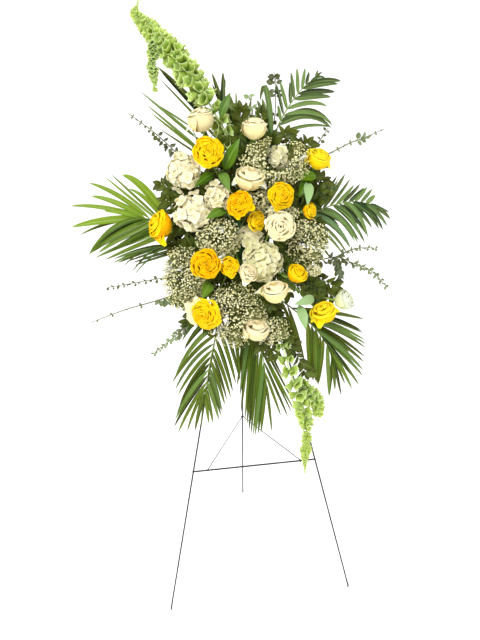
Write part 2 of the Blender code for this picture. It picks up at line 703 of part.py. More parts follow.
def make_brace(pin, ankle):
    """Two wire arms that swing on the low bar and meet behind the back leg."""
    pivot = on_lean(0, LOW_BAR_UP, -BAR_OFFSET)
    hold = pin + (ankle - pin) * ((pin.z - BRACE_Z) / (pin.z - ankle.z))
    along = (hold - pivot).normalized()
    reach = (hold - pivot).length
    side_gap = WIRE + BRACE_WIRE + 0.0007
    back_gap = WIRE + BRACE_WIRE + 0.0008
    for name, side in (("brace_left", -1), ("brace_right", 1)):
        across = Vector((side, 0, 0))
        centre = pivot + across * BRACE_HALF
        bends = [(BRACE_HALF, eye_radius(WIRE)), (side_gap, reach - 0.006),
                 (side_gap, reach + 0.0028), (side_gap - 0.0018, reach + back_gap),
                 (GAP / 2, reach + back_gap)]
        points = [pivot + across * x + along * y for x, y in bends]
        turn_on(pivot, fuse(name, [wire_solid(points, BRACE_WIRE, 1), eye(centre, WIRE)], steel))


def remember_easel():
    """Keeps the flowers clear of the easel's wires, and of the back leg's path."""
    back = SPRAY.inverted()
    graph = bpy.context.evaluated_depsgraph_get()
    for made in model.objects:
        bm = bmesh.new()
        bm.from_mesh(made.evaluated_get(graph).to_mesh())
        bmesh.ops.transform(bm, matrix=back @ made.matrix_world, verts=bm.verts)
        taken.add(bm)
        bm.free()
    path = box((-0.012, -SPRAY_UP, -0.5), (0.012, APEX_UP - SPRAY_UP, -0.004))
    taken.add(path)
    path.free()


def make_foam(parent):
    """The block that holds every stem, with a plain hole for each."""
    bm = box((-FOAM_HALF_X, -FOAM_HALF_Y, FOAM_BACK), (FOAM_HALF_X, FOAM_HALF_Y, FOAM_FRONT))
    taken.add(bm)
    foam = to_object(bm, "foam_block", model, foam_green)
    foam.parent = parent
    holes = bmesh.new()
    outside = 0.005
    for name, (face, a, b) in SOCKETS.items():
        mouth, outward = FACES[face](a, b)
        radius = BUNDLE_HOLE if name.startswith("rose") else HOLE
        turn = outward.to_track_quat("Z", "Y").to_matrix().to_4x4()
        middle = Matrix.Translation(mouth + outward * (outside - HOLE_DEPTH) / 2)
        bmesh.ops.create_cone(holes, cap_ends=True, segments=4, radius1=radius, radius2=radius,
                              depth=HOLE_DEPTH + outside, matrix=middle @ turn)
    cutter = to_object(holes, "stem_holes", cutters)
    cutter.parent = parent
    cutter.display_type = "WIRE"
    cutter.hide_render = True
    cut = foam.modifiers.new("stem holes", "BOOLEAN")
    cut.object = cutter
    cut.solver = "EXACT"


def make_cage(parent):
    """A tray round the back of the foam, with two straps over it and two hooks on the high bar."""
    inner_x, inner_y = FOAM_HALF_X + GAP, FOAM_HALF_Y + GAP
    outer_x, outer_y = inner_x + CAGE_WALL, inner_y + CAGE_WALL
    floor = FOAM_BACK - GAP
    back = floor - CAGE_WALL
    wall = floor + CAGE_RIM
    front = FOAM_FRONT + GAP
    pieces = [box((-outer_x, -outer_y, back), (outer_x, outer_y, floor))]
    for side in (-1, 1):
        pieces.append(box((side * inner_x, -outer_y, back), (side * outer_x, outer_y, wall)))
        pieces.append(box((-outer_x, side * inner_y, back), (outer_x, side * outer_y, wall)))
        low, high = side * STRAP_Y - STRAP_WIDTH / 2, side * STRAP_Y + STRAP_WIDTH / 2
        pieces.append(box((-outer_x, low, front), (outer_x, high, front + CAGE_WALL)))
        for end in (-1, 1):
            pieces.append(box((end * inner_x, low, back), (end * outer_x, high, front + CAGE_WALL)))
        pieces += hook(side, back)
    fuse("foam_cage", pieces, cage_green, parent)


def hook(side, back):
    """A hook that passes over the high bar and down behind it."""
    bar_y = HIGH_BAR_UP - SPRAY_UP
    low_x, high_x = side * HOOK_X - HOOK_WIDTH / 2, side * HOOK_X + HOOK_WIDTH / 2
    over = bar_y + WIRE + GAP
    behind = BAR_OFFSET - WIRE - GAP
    return [
        box((low_x, over, behind - 0.0025), (high_x, over + 0.0025, back + 0.001)),
        box((low_x, bar_y - 0.006, behind - 0.0025), (high_x, over + 0.0025, behind)),
    ]


def socket_points(name):
    """The straight start of a stem: from inside its hole to just outside it."""
    mouth, outward = FACES[SOCKETS[name][0]](*SOCKETS[name][1:])
    return [mouth - outward * STEM_DEPTH, mouth + outward * STEM_OUT]


def clear_way(start, stops, steps, radius, lead=None):
    """A smooth route through the stops, moved aside a little where something is in its way."""
    shifts = [Vector()]
    for amount in (0.006, 0.012, 0.018, 0.026):
        for way in ((0, 0, 1), (0, 0, -1), (0, 1, 0), (0, -1, 0), (1, 0, 0), (-1, 0, 0)):
            shifts.append(Vector(way) * amount)
    for shift in shifts:
        route = smooth_route([start] + [Vector(stop) + shift for stop in stops], steps, lead)
        stem = rod(route, [radius] * len(route), 4)
        clear = taken.is_clear(stem, CLEAR)
        stem.free()
        if clear:
            return route
    return None


def stem_route(name, stops, steps, radius):
    """A stem's way, straight out of its hole and on through the stops."""
    inside, mouth = socket_points(name)
    return [inside] + clear_way(mouth, stops, steps, radius, (mouth - inside).normalized())


def make_rose(index, name, centre, radius, facing, openness, parent):
    """A bloom of a heart and two layers of cupped petals, with a flat foot for its calyx."""
    draw = random.Random(index)
    tight = 1 - openness
    heart = turned([(r, z + (BUD_HIGHER * tight if z > 0 else 0)) for r, z in ROSE_HEART], 5)
    pieces = [heart]
    start = draw.uniform(0, 2 * math.pi)
    narrow = 1 - BUD_NARROWER * tight
    for layer, (count, spread, foot, belly, rim) in enumerate(ROSE_LAYERS):
        for k in range(count):
            turn = start + layer * 0.9 + 2 * math.pi * k / count
            top = rim[1] + BUD_HIGHER * tight + draw.uniform(-0.05, 0.05)
            pieces.append(petal(turn, math.radians(spread), foot, (belly[0] * narrow, belly[1]),
                                (rim[0] * narrow, top), 0.05))
    place = Matrix.Translation(centre) @ Vector(facing).to_track_quat("Z", "Y").to_matrix().to_4x4()
    for piece in pieces:
        bmesh.ops.transform(piece, matrix=place @ Matrix.Scale(radius, 4), verts=piece.verts)
    fuse(name, pieces, yellow if "yellow" in name else cream, parent)


def clear_route(start, ahead, end, arrive, radius, steps):
    """A stem's way from start to end, which bulges aside where the straight way isn't clear."""
    span = (end - start).length
    side = (end - start).orthogonal().normalized()
    across = (end - start).normalized().cross(side)
    bulges = [Vector()]
    for amount in (0.02, 0.035, 0.05, 0.065):
        for k in range(8):
            turn = math.pi * k / 4
            bulges.append((side * math.cos(turn) + across * math.sin(turn)) * amount)
    for bulge in bulges:
        leave, enter = start + ahead * span * 0.3 + bulge, end - arrive * span * 0.3 + bulge
        points = bezier(start, leave, enter, end, steps)
        stem = rod(points, [radius] * len(points), 4)
        clear = taken.is_clear(stem, CLEAR)
        stem.free()
        if clear:
            return points
    return None


def make_rose_stems(bundle, parent):
    """The stems of a few roses, gathered in one bundle that stands in the foam."""
    name = "rose_stems_" + bundle
    inside, mouth = socket_points(name)
    outward = (mouth - inside).normalized()
    knot = mouth + outward * 0.006
    pieces = [rod([inside, mouth, knot], [BUNDLE, BUNDLE, BUNDLE * 0.9], 6)]
    joints = []
    for centre, radius, facing, openness, home in ROSES.values():
        if home != bundle:
            continue
        facing = Vector(facing).normalized()
        seat = Vector(centre) - facing * (0.75 * radius + GAP)
        aside = seat - knot
        start = knot - outward * 0.004 + (aside - outward * aside.dot(outward)).normalized() * BUNDLE * 0.5
        neck = 0.17 * radius
        points = clear_route(start, outward, seat - facing * 0.014, facing, ROSE_STEM, 3)
        radii = [ROSE_STEM] * len(points) + [neck * 1.1, neck]
        pieces.append(rod(points + [seat - facing * 0.003, seat], radii, 3))
        joints += points[1:]
    for home, base, tip, width in BROAD_LEAVES:
        if home == bundle:
            base, tip = Vector(base), Vector(tip)
            nearest = min(joints, key=lambda p: (p - base).length)
            blades = keep_clear([leaf(base, tip, width, Vector((0, 0.3, 1)))])
            stalks = keep_clear([needle(nearest, base + (tip - base) * 0.3, 0.0014)])
            if blades and stalks:
                pieces += blades + stalks
    fuse(name, pieces, stem_green, parent)


def keep_clear(pieces):
    kept = []
    for piece in pieces:
        if taken.is_clear(piece, CLEAR):
            kept.append(piece)
        else:
            piece.free()
    return kept


def make_hydrangea(index, name, parent):
    """Heads of four-petalled florets that stand out of a smaller core."""
    draw = random.Random(100 + index)
    inside, mouth = socket_points(name)
    outward = (mouth - inside).normalized()
    pieces = []
    for centre, radius, facing in HYDRANGEAS[name]:
        centre, facing = Vector(centre), Vector(facing).normalized()
        frame = Matrix.Translation(centre) @ facing.to_track_quat("Z", "Y").to_matrix().to_4x4()
        for size in (1.0, 0.85, 0.7, 0.55):
            core = turned(HEAD_CORE, 6)
            bmesh.ops.transform(core, matrix=frame @ Matrix.Scale(radius * size, 4), verts=core.verts)
            if taken.is_clear(core, CLEAR):
                break
        pieces.append(core)
        count = round(HEAD_FLORETS * radius * radius)
        for k in range(count):
            height = 1 - 1.15 * (k + 0.5) / count
            turn = k * math.pi * (3 - math.sqrt(5))
            flat = math.sqrt(max(0, 1 - height * height))
            normal = Vector((flat * math.cos(turn), flat * math.sin(turn), height))
            spot = frame @ (Vector((normal.x, normal.y, normal.z * 0.78)) * radius * 0.93)
            normal = frame.to_3x3() @ normal
            root = centre + (spot - centre) * 0.62
            pieces += keep_clear([floret(spot, normal, root, FLORET, draw.uniform(0, math.pi))])
    first = Vector(HYDRANGEAS[name][0][0])
    way = Vector(HYDRANGEAS[name][0][2]).normalized()
    points = clear_route(mouth, outward, first - way * HYDRANGEAS[name][0][1] * 0.3, way, STEM, 4)
    pieces.append(rod([inside] + points, [STEM] * (len(points) + 1), 4))
    fuse(name, pieces, hydrangea_white, parent)


def make_bells(index, name, parent):
    """Stems with whorls of bells that grow smaller towards the tip."""
    draw = random.Random(200 + index)
    pieces = []
    own = Space()
    for branch, (stops, begin, spread) in enumerate(BELLS[name]):
        route = stem_route(name, stops, 1, STEM) if branch == 0 else smooth_route(stops, 1)
        radii = [STEM * (1 - 0.55 * i / len(route)) for i in range(len(route))]
        pieces.append(rod(route, radii, 3))
        lengths = [0.0]
        for a, b in zip(route, route[1:]):
            lengths.append(lengths[-1] + (b - a).length)
        total = lengths[-1]
        at = total * begin
        whorl = 0
        while at < total - 0.004:
            share = (at / total - begin) / (1 - begin)
            size = spread * (1 - 0.62 * share)
            k = next(i for i in range(len(lengths) - 1) if lengths[i + 1] >= at)
            point = route[k].lerp(route[k + 1], (at - lengths[k]) / (lengths[k + 1] - lengths[k]))
            along = (route[k + 1] - route[k]).normalized()
            side = along.orthogonal().normalized()
            across = along.cross(side)
            for i in range(3):
                turn = whorl * 1.05 + 2 * math.pi * i / 3 + draw.uniform(-0.15, 0.15)
                outward = (side * math.cos(turn) + across * math.sin(turn) + along * 0.35).normalized()
                mouth_part = bell(point + outward * size * 0.36, outward, size * 0.56, size * 0.46)
                whole = bell(point, outward, size * 0.56, size * 0.82)
                if own.is_clear(mouth_part, CLEAR / 2) and taken.is_clear(whole, CLEAR):
                    own.add(mouth_part)
                    pieces.append(whole)
            at += size * 1.32
            whorl += 1
    fuse(name, pieces, lime, parent)


def make_frond(index, name, parent):
    """A palm frond: a tapering rib, with leaflets on both sides that shorten towards the tip."""
    stops, count, longest, begin = FRONDS[name]
    draw = random.Random(300 + index)
    route = stem_route(name, stops, 1, STEM)
    radii = [STEM * (1 - 0.6 * i / len(route)) for i in range(len(route))]
    pieces = [rod(route, radii, 3)]
    fine = smooth_route(route, 8)
    ahead = tangents(fine)
    face = Vector((0, 0, 1))
    for k in range(count):
        share = (k + 0.5) / count
        for side in (-1, 1):
            t = begin + (1 - begin) * (share + side * 0.25 / count)
            i = min(int(t * (len(fine) - 1)), len(fine) - 1)
            base, along = fine[i], ahead[i]
            across = face.cross(along).normalized() * side
            lean = math.radians(68 - 46 * share + draw.uniform(-4, 4))
            length = longest * (0.62 + 0.38 * math.sin(math.pi * min(1, 0.25 + 0.85 * share)))
            length *= draw.uniform(0.92, 1.04)
            way = along * math.cos(lean) + across * math.sin(lean)
            pieces += leaflet(base, way, face, length, 0.30)
    tip = fine[-1] + ahead[-1] * longest * 0.55
    pieces += keep_clear([blade(fine[-2], tip, 0.011, face, 0.002)])
    fuse(name, pieces, palm, parent)


def leaflet(base, way, face, length, sink):
    """A leaflet that sinks to the back, or is bent further, until it is clear."""
    for bend in (sink, sink + 0.15, sink - 0.18, sink + 0.35, sink - 0.36, sink + 0.6):
        for reach in (1.0, 0.8):
            way_out = (way - face * bend).normalized()
            piece = blade(base, base + way_out * length * reach, 0.0130, face, length * 0.07)
            if taken.is_clear(piece, CLEAR):
                return [piece]
            piece.free()
    return []


def make_eucalyptus(index, name, parent):
    """Twigs with pairs of small leaves."""
    draw = random.Random(400 + index)
    pieces = []
    own = Space()
    main = None
    for stops, size, pairs in EUCALYPTUS[name]:
        begin = 0.42 if main is None else 0.25
        if main is None:
            route = main = stem_route(name, stops, 1, TWIG)
        else:
            fork = min(main, key=lambda p: (p - Vector(stops[0])).length)
            route = clear_way(fork, stops[1:], 1, TWIG)
        radii = [TWIG * (1 - 0.6 * i / len(route)) for i in range(len(route))]
        pieces.append(rod(route, radii, 3))
        fine = smooth_route(route, 6)
        ahead = tangents(fine)
        for k in range(pairs):
            i = int((begin + (1 - begin) * (k + 0.5) / pairs) * (len(fine) - 1))
            side = ahead[i].orthogonal().normalized()
            across = ahead[i].cross(side)
            turn = draw.uniform(0, math.pi)
            for way in (1, -1):
                outward = (side * math.cos(turn) + across * math.sin(turn)) * way
                long = size * (1.15 - 0.45 * k / pairs)
                tip = fine[i] + (outward * 0.85 + ahead[i] * 0.5).normalized() * long
                one = small_leaf(fine[i], tip, long * 0.85, ahead[i] - outward * 0.3)
                outer = small_leaf(fine[i].lerp(tip, 0.25), tip, long * 0.85, ahead[i] - outward * 0.3)
                if own.is_clear(outer, CLEAR / 2) and taken.is_clear(one, CLEAR):
                    own.add(outer)
                    pieces.append(one)
        tip = fine[-1] + ahead[-1] * size * 0.7
        pieces += keep_clear([small_leaf(fine[-3], tip, size * 0.6, Vector((0, 0, 1)))])
    fuse(name, pieces, sage, parent)


def make_gypsophila(index, name, parent):
    """Open clouds of tiny blooms on fine twigs that leave a few branches."""
    draw = random.Random(500 + index)
    inside, mouth = socket_points(name)
    outward = (mouth - inside).normalized()
    pieces = [rod([inside, mouth, mouth + outward * 0.003], [SPRIG] * 3, 4)]
    for centre, half in GYPSOPHILA[name]:
        centre, half = Vector(centre), Vector(half)
        branch = None
        while branch is None:
            share = Vector((draw.uniform(-0.5, 0.5), draw.uniform(-0.5, 0.5), draw.uniform(-1.4, -0.4)))
            spot = centre + share * half
            branch = clear_route(mouth, outward, spot, (spot - mouth).normalized(), SPRIG, 4)
        pieces.append(rod(branch, [SPRIG * (0.85 - 0.10 * i) for i in range(len(branch))], 3))
        wanted = round(6 + 1500 * half.x * half.y)
        found = 0
        own = Space()
        for k in range(wanted * 20):
            if found == wanted:
                break
            way = Vector([draw.gauss(0, 1) for i in range(3)]).normalized()
            way.z = abs(way.z)
            spot = centre + way * half * draw.uniform(0.3, 1.0) ** 0.5
            root = branch[-2].lerp(branch[-1], draw.uniform(0.0, 0.95))
            if draw.random() < 0.4:
                root = branch[-3].lerp(branch[-2], draw.uniform(0.3, 1.0))
            twig = bloom_twig(root, spot, draw.uniform(0.0070, 0.0085))
            outer = bloom_twig(root.lerp(spot, 0.12), spot, 0.0085)
            if taken.is_clear(twig, CLEAR) and own.is_clear(outer, CLEAR / 2):
                pieces.append(twig)
                own.add(outer)
                found += 1
    fuse(name, pieces, baby_white, parent)


taken = Space()
clear_scene()
model = new_collection("standing_funeral_spray")
cutters = new_collection("cutters")
steel = material("easel_wire", STEEL, 0.45, 0.6)
foam_green = material("foam", FOAM_GREEN, 0.95)
cage_green = material("cage", CAGE_GREEN, 0.5)
yellow = material("yellow_petal", YELLOW, 0.6)
cream = material("cream_petal", CREAM, 0.6)
hydrangea_white = material("hydrangea_petal", HYDRANGEA_WHITE, 0.7)
lime = material("bell", LIME, 0.6)
palm = material("palm_leaf", PALM, 0.45)
sage = material("eucalyptus_leaf", SAGE, 0.6)
stem_green = material("rose_green", STEM_GREEN, 0.55)
baby_white = material("gypsophila_bloom", BABY_WHITE, 0.8)

SPRAY = spray_frame()
make_easel()
bpy.context.view_layer.update()
remember_easel()
spray = bpy.data.objects.new("spray_centre", None)
spray.matrix_world = SPRAY
model.objects.link(spray)
make_foam(spray)
make_cage(spray)
for order, (bloom_name, (middle, size, way, opened, home)) in enumerate(ROSES.items()):
    make_rose(order, bloom_name, middle, size, way, opened, spray)
for order, head_name in enumerate(HYDRANGEAS):
    make_hydrangea(order, head_name, spray)
for bundle_name in ("upper_left", "upper_right", "lower_left", "lower_right"):
    make_rose_stems(bundle_name, spray)
for order, bells_name in enumerate(BELLS):
    make_bells(order, bells_name, spray)
for order, frond_name in enumerate(FRONDS):
    make_frond(order, frond_name, spray)
for order, twig_name in enumerate(EUCALYPTUS):
    make_eucalyptus(order, twig_name, spray)
for order, cloud_name in enumerate(GYPSOPHILA):
    make_gypsophila(order, cloud_name, spray)
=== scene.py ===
"""Looks of the standing funeral spray: roses, hydrangea, gypsophila, bells of Ireland, palm and eucalyptus.

Every flower, frond and twig is built in the spray's own frame: X right, Y up the easel's lean, Z out to the
front, with the origin at the middle of the foam. Then it is put in its place on the easel. The tables give
lengths in millimetres. A spot marked "frame" is X, Y and Z in the spray's frame, and one marked "photo" is a
pixel of the photograph and how far out from the easel that spot lies.
"""
import math
import random

import bpy
import numpy as np
from mathutils import Matrix, Vector


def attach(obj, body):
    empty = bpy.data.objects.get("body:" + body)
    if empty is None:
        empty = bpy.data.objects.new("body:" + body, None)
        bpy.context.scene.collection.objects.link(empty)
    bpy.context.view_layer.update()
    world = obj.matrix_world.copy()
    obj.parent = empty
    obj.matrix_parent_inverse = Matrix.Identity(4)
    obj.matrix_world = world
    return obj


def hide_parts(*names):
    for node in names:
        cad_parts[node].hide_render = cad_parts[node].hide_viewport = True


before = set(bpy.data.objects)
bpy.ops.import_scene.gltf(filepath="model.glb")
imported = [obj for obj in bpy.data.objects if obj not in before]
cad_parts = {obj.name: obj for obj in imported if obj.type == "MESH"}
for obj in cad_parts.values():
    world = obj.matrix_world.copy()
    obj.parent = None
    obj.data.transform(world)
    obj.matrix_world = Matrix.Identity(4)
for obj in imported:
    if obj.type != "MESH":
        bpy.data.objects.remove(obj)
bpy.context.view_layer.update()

# The easel's lean, its front legs' line on the floor, and the spray's place on it
LEAN = math.radians(15.85)
FRONT_Y = -0.2325
MIDDLE_X = 0.015
SPRAY_UP = 1.20

# The foam block that holds the stems
FOAM_HALF_X = 0.055
FOAM_HALF_Y = 0.115
FOAM_FRONT = 0.0935

# Stem radii, how deep a stem stands in the foam, and how far outside it the stem may begin to bend
STEM = 0.0030
BUNDLE = 0.0055
ROSE_STEM = 0.0023
TWIG = 0.0026
SPRIG = 0.0024
THIN_BELL_STEM = 0.0016
FILLER_STEM = 0.0016
FILLER_TIP = 0.0007
RIB_TIP = 0.0009
STEM_DEPTH = 0.023
STEM_OUT = 0.004

# Radii of fine stalks from their foot to their end
FLORET_STALK = [0.0011, 0.0008, 0.0006]
CLOUD_FORK = [0.0010, 0.0009, 0.0007]
BLOOM_STALK = [0.0005, 0.0004]
LEAF_STALK = [0.0006, 0.0005]
BROAD_STALK = [0.0012, 0.0011, 0.0010]

# Thickness of petals and leaves: florets, bells, leaflets, filler leaves and broad leaves
FLORET_THICK = 0.00035
BELL_THICK = 0.0005
LEAFLET_THICK = 0.0006
FILLER_THICK = 0.0007
BROAD_THICK = 0.0008

# Florets of a hydrangea lobe, for each square metre of its radius squared, and their radii from least to most
FLORETS = 27000
FLORET_SIZE = (0.0140, 0.0175)

# Gypsophila: blooms of each cloud and more for its area, their radii from least to most, and forks of each
# cloud and more for its volume
BLOOMS = (160, 200000)
BLOOM_SIZE = (0.0019, 0.0034)
FORKS = (14, 130000)

# Lengths of the filler leaves from least to most, and how far from a rose's seat its stem begins to widen
FILLER_LEAF = (0.022, 0.038)
NECK = 0.014

# Spots farther than this from a head never hide it
HIDING = 0.12

# Grid of a rose petal, sides of a bell, and the angle between one floret and the next
PETAL_ROWS = 10
PETAL_COLS = 11
CUP_SIDES = 15
GOLDEN = math.pi * (3 - math.sqrt(5))

# Edges sharper than this stay sharp
CREASE = math.radians(62)

# Which way is down, in the spray's own frame
DOWN = np.array([0.0, -math.cos(LEAN), -math.sin(LEAN)])

# The photograph's viewpoint: a focal length of 560 pixels on its long side of 640
EYE = (-0.172, -1.3695, 1.717)
YAW = math.radians(6.7)
PITCH = math.radians(-29.7)
ROLL = math.radians(-1.05)
FOCAL = 560
PHOTO_WIDTH = 480
PHOTO_HEIGHT = 640

# Where each stem stands in the foam: a face and the two coordinates on it
SOCKETS = {
    "rose_stems_upper_left": ("front", -36, 76), "rose_stems_upper_right": ("front", 36, 76),
    "rose_stems_lower_left": ("front", -36, -34), "rose_stems_lower_right": ("front", 36, -34),
    "hydrangea_1": ("left", 75, 52), "hydrangea_2": ("left", 36, 52), "hydrangea_3": ("front", -36, 34),
    "hydrangea_4": ("front", 0, -34), "hydrangea_5": ("top", 40, 52), "gypsophila_1": ("front", 36, 104),
    "gypsophila_2": ("front", -36, 0), "gypsophila_3": ("left", -22, 52),
    "gypsophila_4": ("front", -36, -100), "gypsophila_5": ("front", 36, 12), "bells_top": ("top", -18, 52),
    "bells_bottom": ("bottom", 30, 54), "frond_1": ("top", 36, 30), "frond_2": ("top", 0, 30),
    "frond_3": ("top", -36, 30), "frond_4": ("left", 26, 30), "frond_5": ("left", -12, 30),
    "frond_6": ("right", 30, 40), "frond_7": ("bottom", 36, 30), "frond_8": ("bottom", -36, 40),
    "frond_9": ("bottom", 0, 45), "eucalyptus_1": ("left", 75, 30), "eucalyptus_2": ("top", 14, 52),
    "eucalyptus_3": ("right", 75, 45), "eucalyptus_4": ("right", -30, 45), "eucalyptus_5": ("left", -75, 40),
}

# Rows of petals from the heart out: the rim's distance from the axis in shares of the radius, and how many
# petals
FULL = [(0.05, 2), (0.15, 3), (0.27, 3), (0.40, 4), (0.54, 4), (0.68, 5), (0.80, 5), (0.89, 5)]
LOOSE = [(0.07, 2), (0.19, 3), (0.37, 3), (0.60, 4), (0.86, 4)]
SMALL = [(0.06, 2), (0.20, 3), (0.38, 3), (0.58, 4), (0.82, 4)]
CUP = [(0.12, 2), (0.30, 2), (0.50, 3), (0.66, 2), (0.80, 3)]
FOLD = [(0.14, 2), (0.40, 2), (0.68, 2), (0.84, 3)]
BUD = [(0.24, 2), (0.60, 2), (0.84, 3)]

# Roses: centre, radius, way the calyx faces and stem bundle. Then, as the photograph shows them: how far the
# heart lies to the right of and above the way to the camera, how open it is from 0 to 1, its rows of petals,
# and its size as a share of the radius
ROSES = {
    "rose_yellow_1": ((-98, 210, 190), 36, (-0.15, 0.35, 1.0), "upper_left", 0.0, 0.25, 1.0, FULL, 1.0),
    "rose_yellow_2": ((176, 182, 150), 31, (0.75, 0.2, 0.9), "upper_right", 0.5, 1.3, 0.35, CUP, 1.08),
    "rose_yellow_3": ((-223, 41, 130), 38, (-1.0, -0.1, 0.7), "upper_left", -1.7, 0.7, 0.45, CUP, 1.05),
    "rose_yellow_4": ((-33, 88, 214), 33, (-0.1, 0.15, 1.0), "upper_left", -0.5, 0.4, 0.9, FULL, 1.0),
    "rose_yellow_5": ((71, 101, 200), 32, (0.35, 0.2, 1.0), "upper_right", 0.3, 0.1, 0.9, FULL, 1.0),
    "rose_yellow_6": ((9, 44, 186), 27, (0.1, 0.1, 1.0), "upper_right", 0.8, 0.0, 0.7, SMALL, 1.0),
    "rose_yellow_7": ((149, 59, 160), 22, (0.9, 0.1, 0.6), "upper_right", 0.9, 0.2, 0.4, SMALL, 0.95),
    "rose_yellow_8": ((-121, -50, 214), 36, (-0.35, 0.1, 1.0), "lower_left", 0.0, 0.0, 1.0, FULL, 1.0),
    "rose_yellow_9": ((-62, -63, 200), 26, (0.0, 0.05, 1.0), "lower_left", -0.05, 0.1, 0.8, SMALL, 1.0),
    "rose_yellow_10": ((105, -94, 192), 27, (0.55, 0.35, 0.9), "lower_right", 0.6, 0.7, 0.45, CUP, 1.08),
    "rose_yellow_11": ((-131, -177, 200), 40, (-0.25, 0.1, 1.0), "lower_left", -0.5, -0.4, 1.0, FULL, 1.0),
    "rose_yellow_12": ((183, -210, 160), 36, (0.55, -0.45, 0.9), "lower_right", -0.4, 1.2, 0.35, FOLD, 1.0),
    "rose_cream_1": ((-107, 283, 140), 31, (-0.15, 0.6, 0.8), "upper_left", -0.5, 2.2, 0.15, CUP, 1.14),
    "rose_cream_2": ((18, 258, 160), 30, (0.1, 0.6, 0.8), "upper_right", 0.1, 2.2, 0.3, CUP, 1.14),
    "rose_cream_3": ((-1, 142, 172), 38, (0.1, 0.3, 1.0), "upper_left", 0.2, 1.3, 0.3, BUD, 1.0),
    "rose_cream_4": ((60, 31, 234), 36, (0.25, 0.1, 1.0), "lower_right", 0.1, -0.05, 0.9, LOOSE, 1.0),
    "rose_cream_5": ((46, -134, 212), 35, (0.15, -0.1, 1.0), "lower_right", -0.3, 1.5, 0.25, BUD, 1.0),
    "rose_cream_6": ((-1, -239, 172), 36, (0.0, -0.35, 1.0), "lower_left", 0.1, 1.3, 0.25, BUD, 1.0),
    "rose_cream_7": ((247, -188, 120), 25, (0.9, -0.1, 0.5), "lower_right", 1.3, 0.6, 0.25, CUP, 1.25),
    "rose_cream_8": ((-19, -83, 196), 22, (0.35, -0.1, 1.0), "lower_left", 0.5, 0.5, 0.5, SMALL, 1.2),
}

# Outer petals behind a rose: the way each points, in degrees round from the right, its length, and its look,
# 0 for the rose's own and 2 for pale
GUARDS = {
    "rose_yellow_1": [(115, 1.12, 0), (15, 1.02, 0), (250, 1.0, 0)],
    "rose_yellow_2": [(200, 1.1, 0), (330, 1.12, 0), (80, 1.1, 0)],
    "rose_yellow_3": [(300, 1.35, 0), (275, 1.15, 0), (100, 0.95, 0)],
    "rose_yellow_4": [(340, 1.18, 0), (262, 1.12, 0), (150, 1.08, 0)],
    "rose_yellow_5": [(255, 1.22, 0), (110, 1.05, 0)],
    "rose_yellow_8": [(300, 1.08, 0), (150, 1.02, 0)],
    "rose_yellow_9": [(280, 1.12, 0)],
    "rose_yellow_11": [(165, 1.55, 2), (200, 1.45, 2), (125, 1.25, 2), (330, 1.12, 0), (290, 1.08, 0)],
    "rose_yellow_12": [(15, 1.18, 0), (200, 1.1, 0), (262, 1.12, 0), (100, 1.05, 0)],
    "rose_cream_1": [(215, 1.15, 2), (30, 1.0, 2)],
    "rose_cream_2": [(40, 1.05, 2), (150, 1.0, 2)],
    "rose_cream_3": [(335, 1.25, 2), (200, 1.15, 2), (95, 1.05, 2)],
    "rose_cream_4": [(160, 1.1, 2), (320, 1.08, 2), (60, 1.0, 2)],
    "rose_cream_5": [(150, 1.55, 2), (15, 1.3, 2)],
    "rose_cream_6": [(95, 1.1, 2), (215, 1.0, 2)],
    "rose_cream_8": [(60, 1.2, 2), (250, 1.2, 2), (160, 1.1, 2)],
}

# Hydrangea: how green from 0 to 1, and lobes of centre, radius and facing
HYDRANGEAS = {
    "hydrangea_1": (0.05, [((-154, 169, 130), 47, (-0.45, 0.35, 1.0))]),
    "hydrangea_2": (0.1, [((-142, 72, 150), 48, (-0.35, 0.0, 1.0))]),
    "hydrangea_3": (0.2, [((-83, 106, 162), 34, (-0.1, 0.1, 1.0))]),
    "hydrangea_4": (0.55, [((26, -63, 148), 54, (0.1, -0.1, 1.0)), ((-2, 0, 135), 34, (0.0, 0.1, 1.0))]),
    "hydrangea_5": (0.55, [((81, 192, 122), 32, (0.3, 0.5, 1.0))]),
}

# Gypsophila: how full, and clouds of centre and half sizes
GYPSOPHILA = {
    "gypsophila_1": (1.12, [((66, 180, 165), (85, 55, 30))]),
    "gypsophila_2": (1.0, [((-80, 5, 165), (55, 48, 30)), ((16, 92, 155), (32, 36, 24))]),
    "gypsophila_3": (0.94, [((-175, -95, 135), (55, 80, 35))]),
    "gypsophila_4": (0.74, [((-50, -195, 165), (75, 80, 30)), ((40, -250, 140), (55, 35, 25))]),
    "gypsophila_5": (0.78, [((145, -20, 150), (55, 55, 35)), ((75, 55, 165), (45, 25, 25)),
                            ((165, -98, 125), (22, 16, 14))]),
}

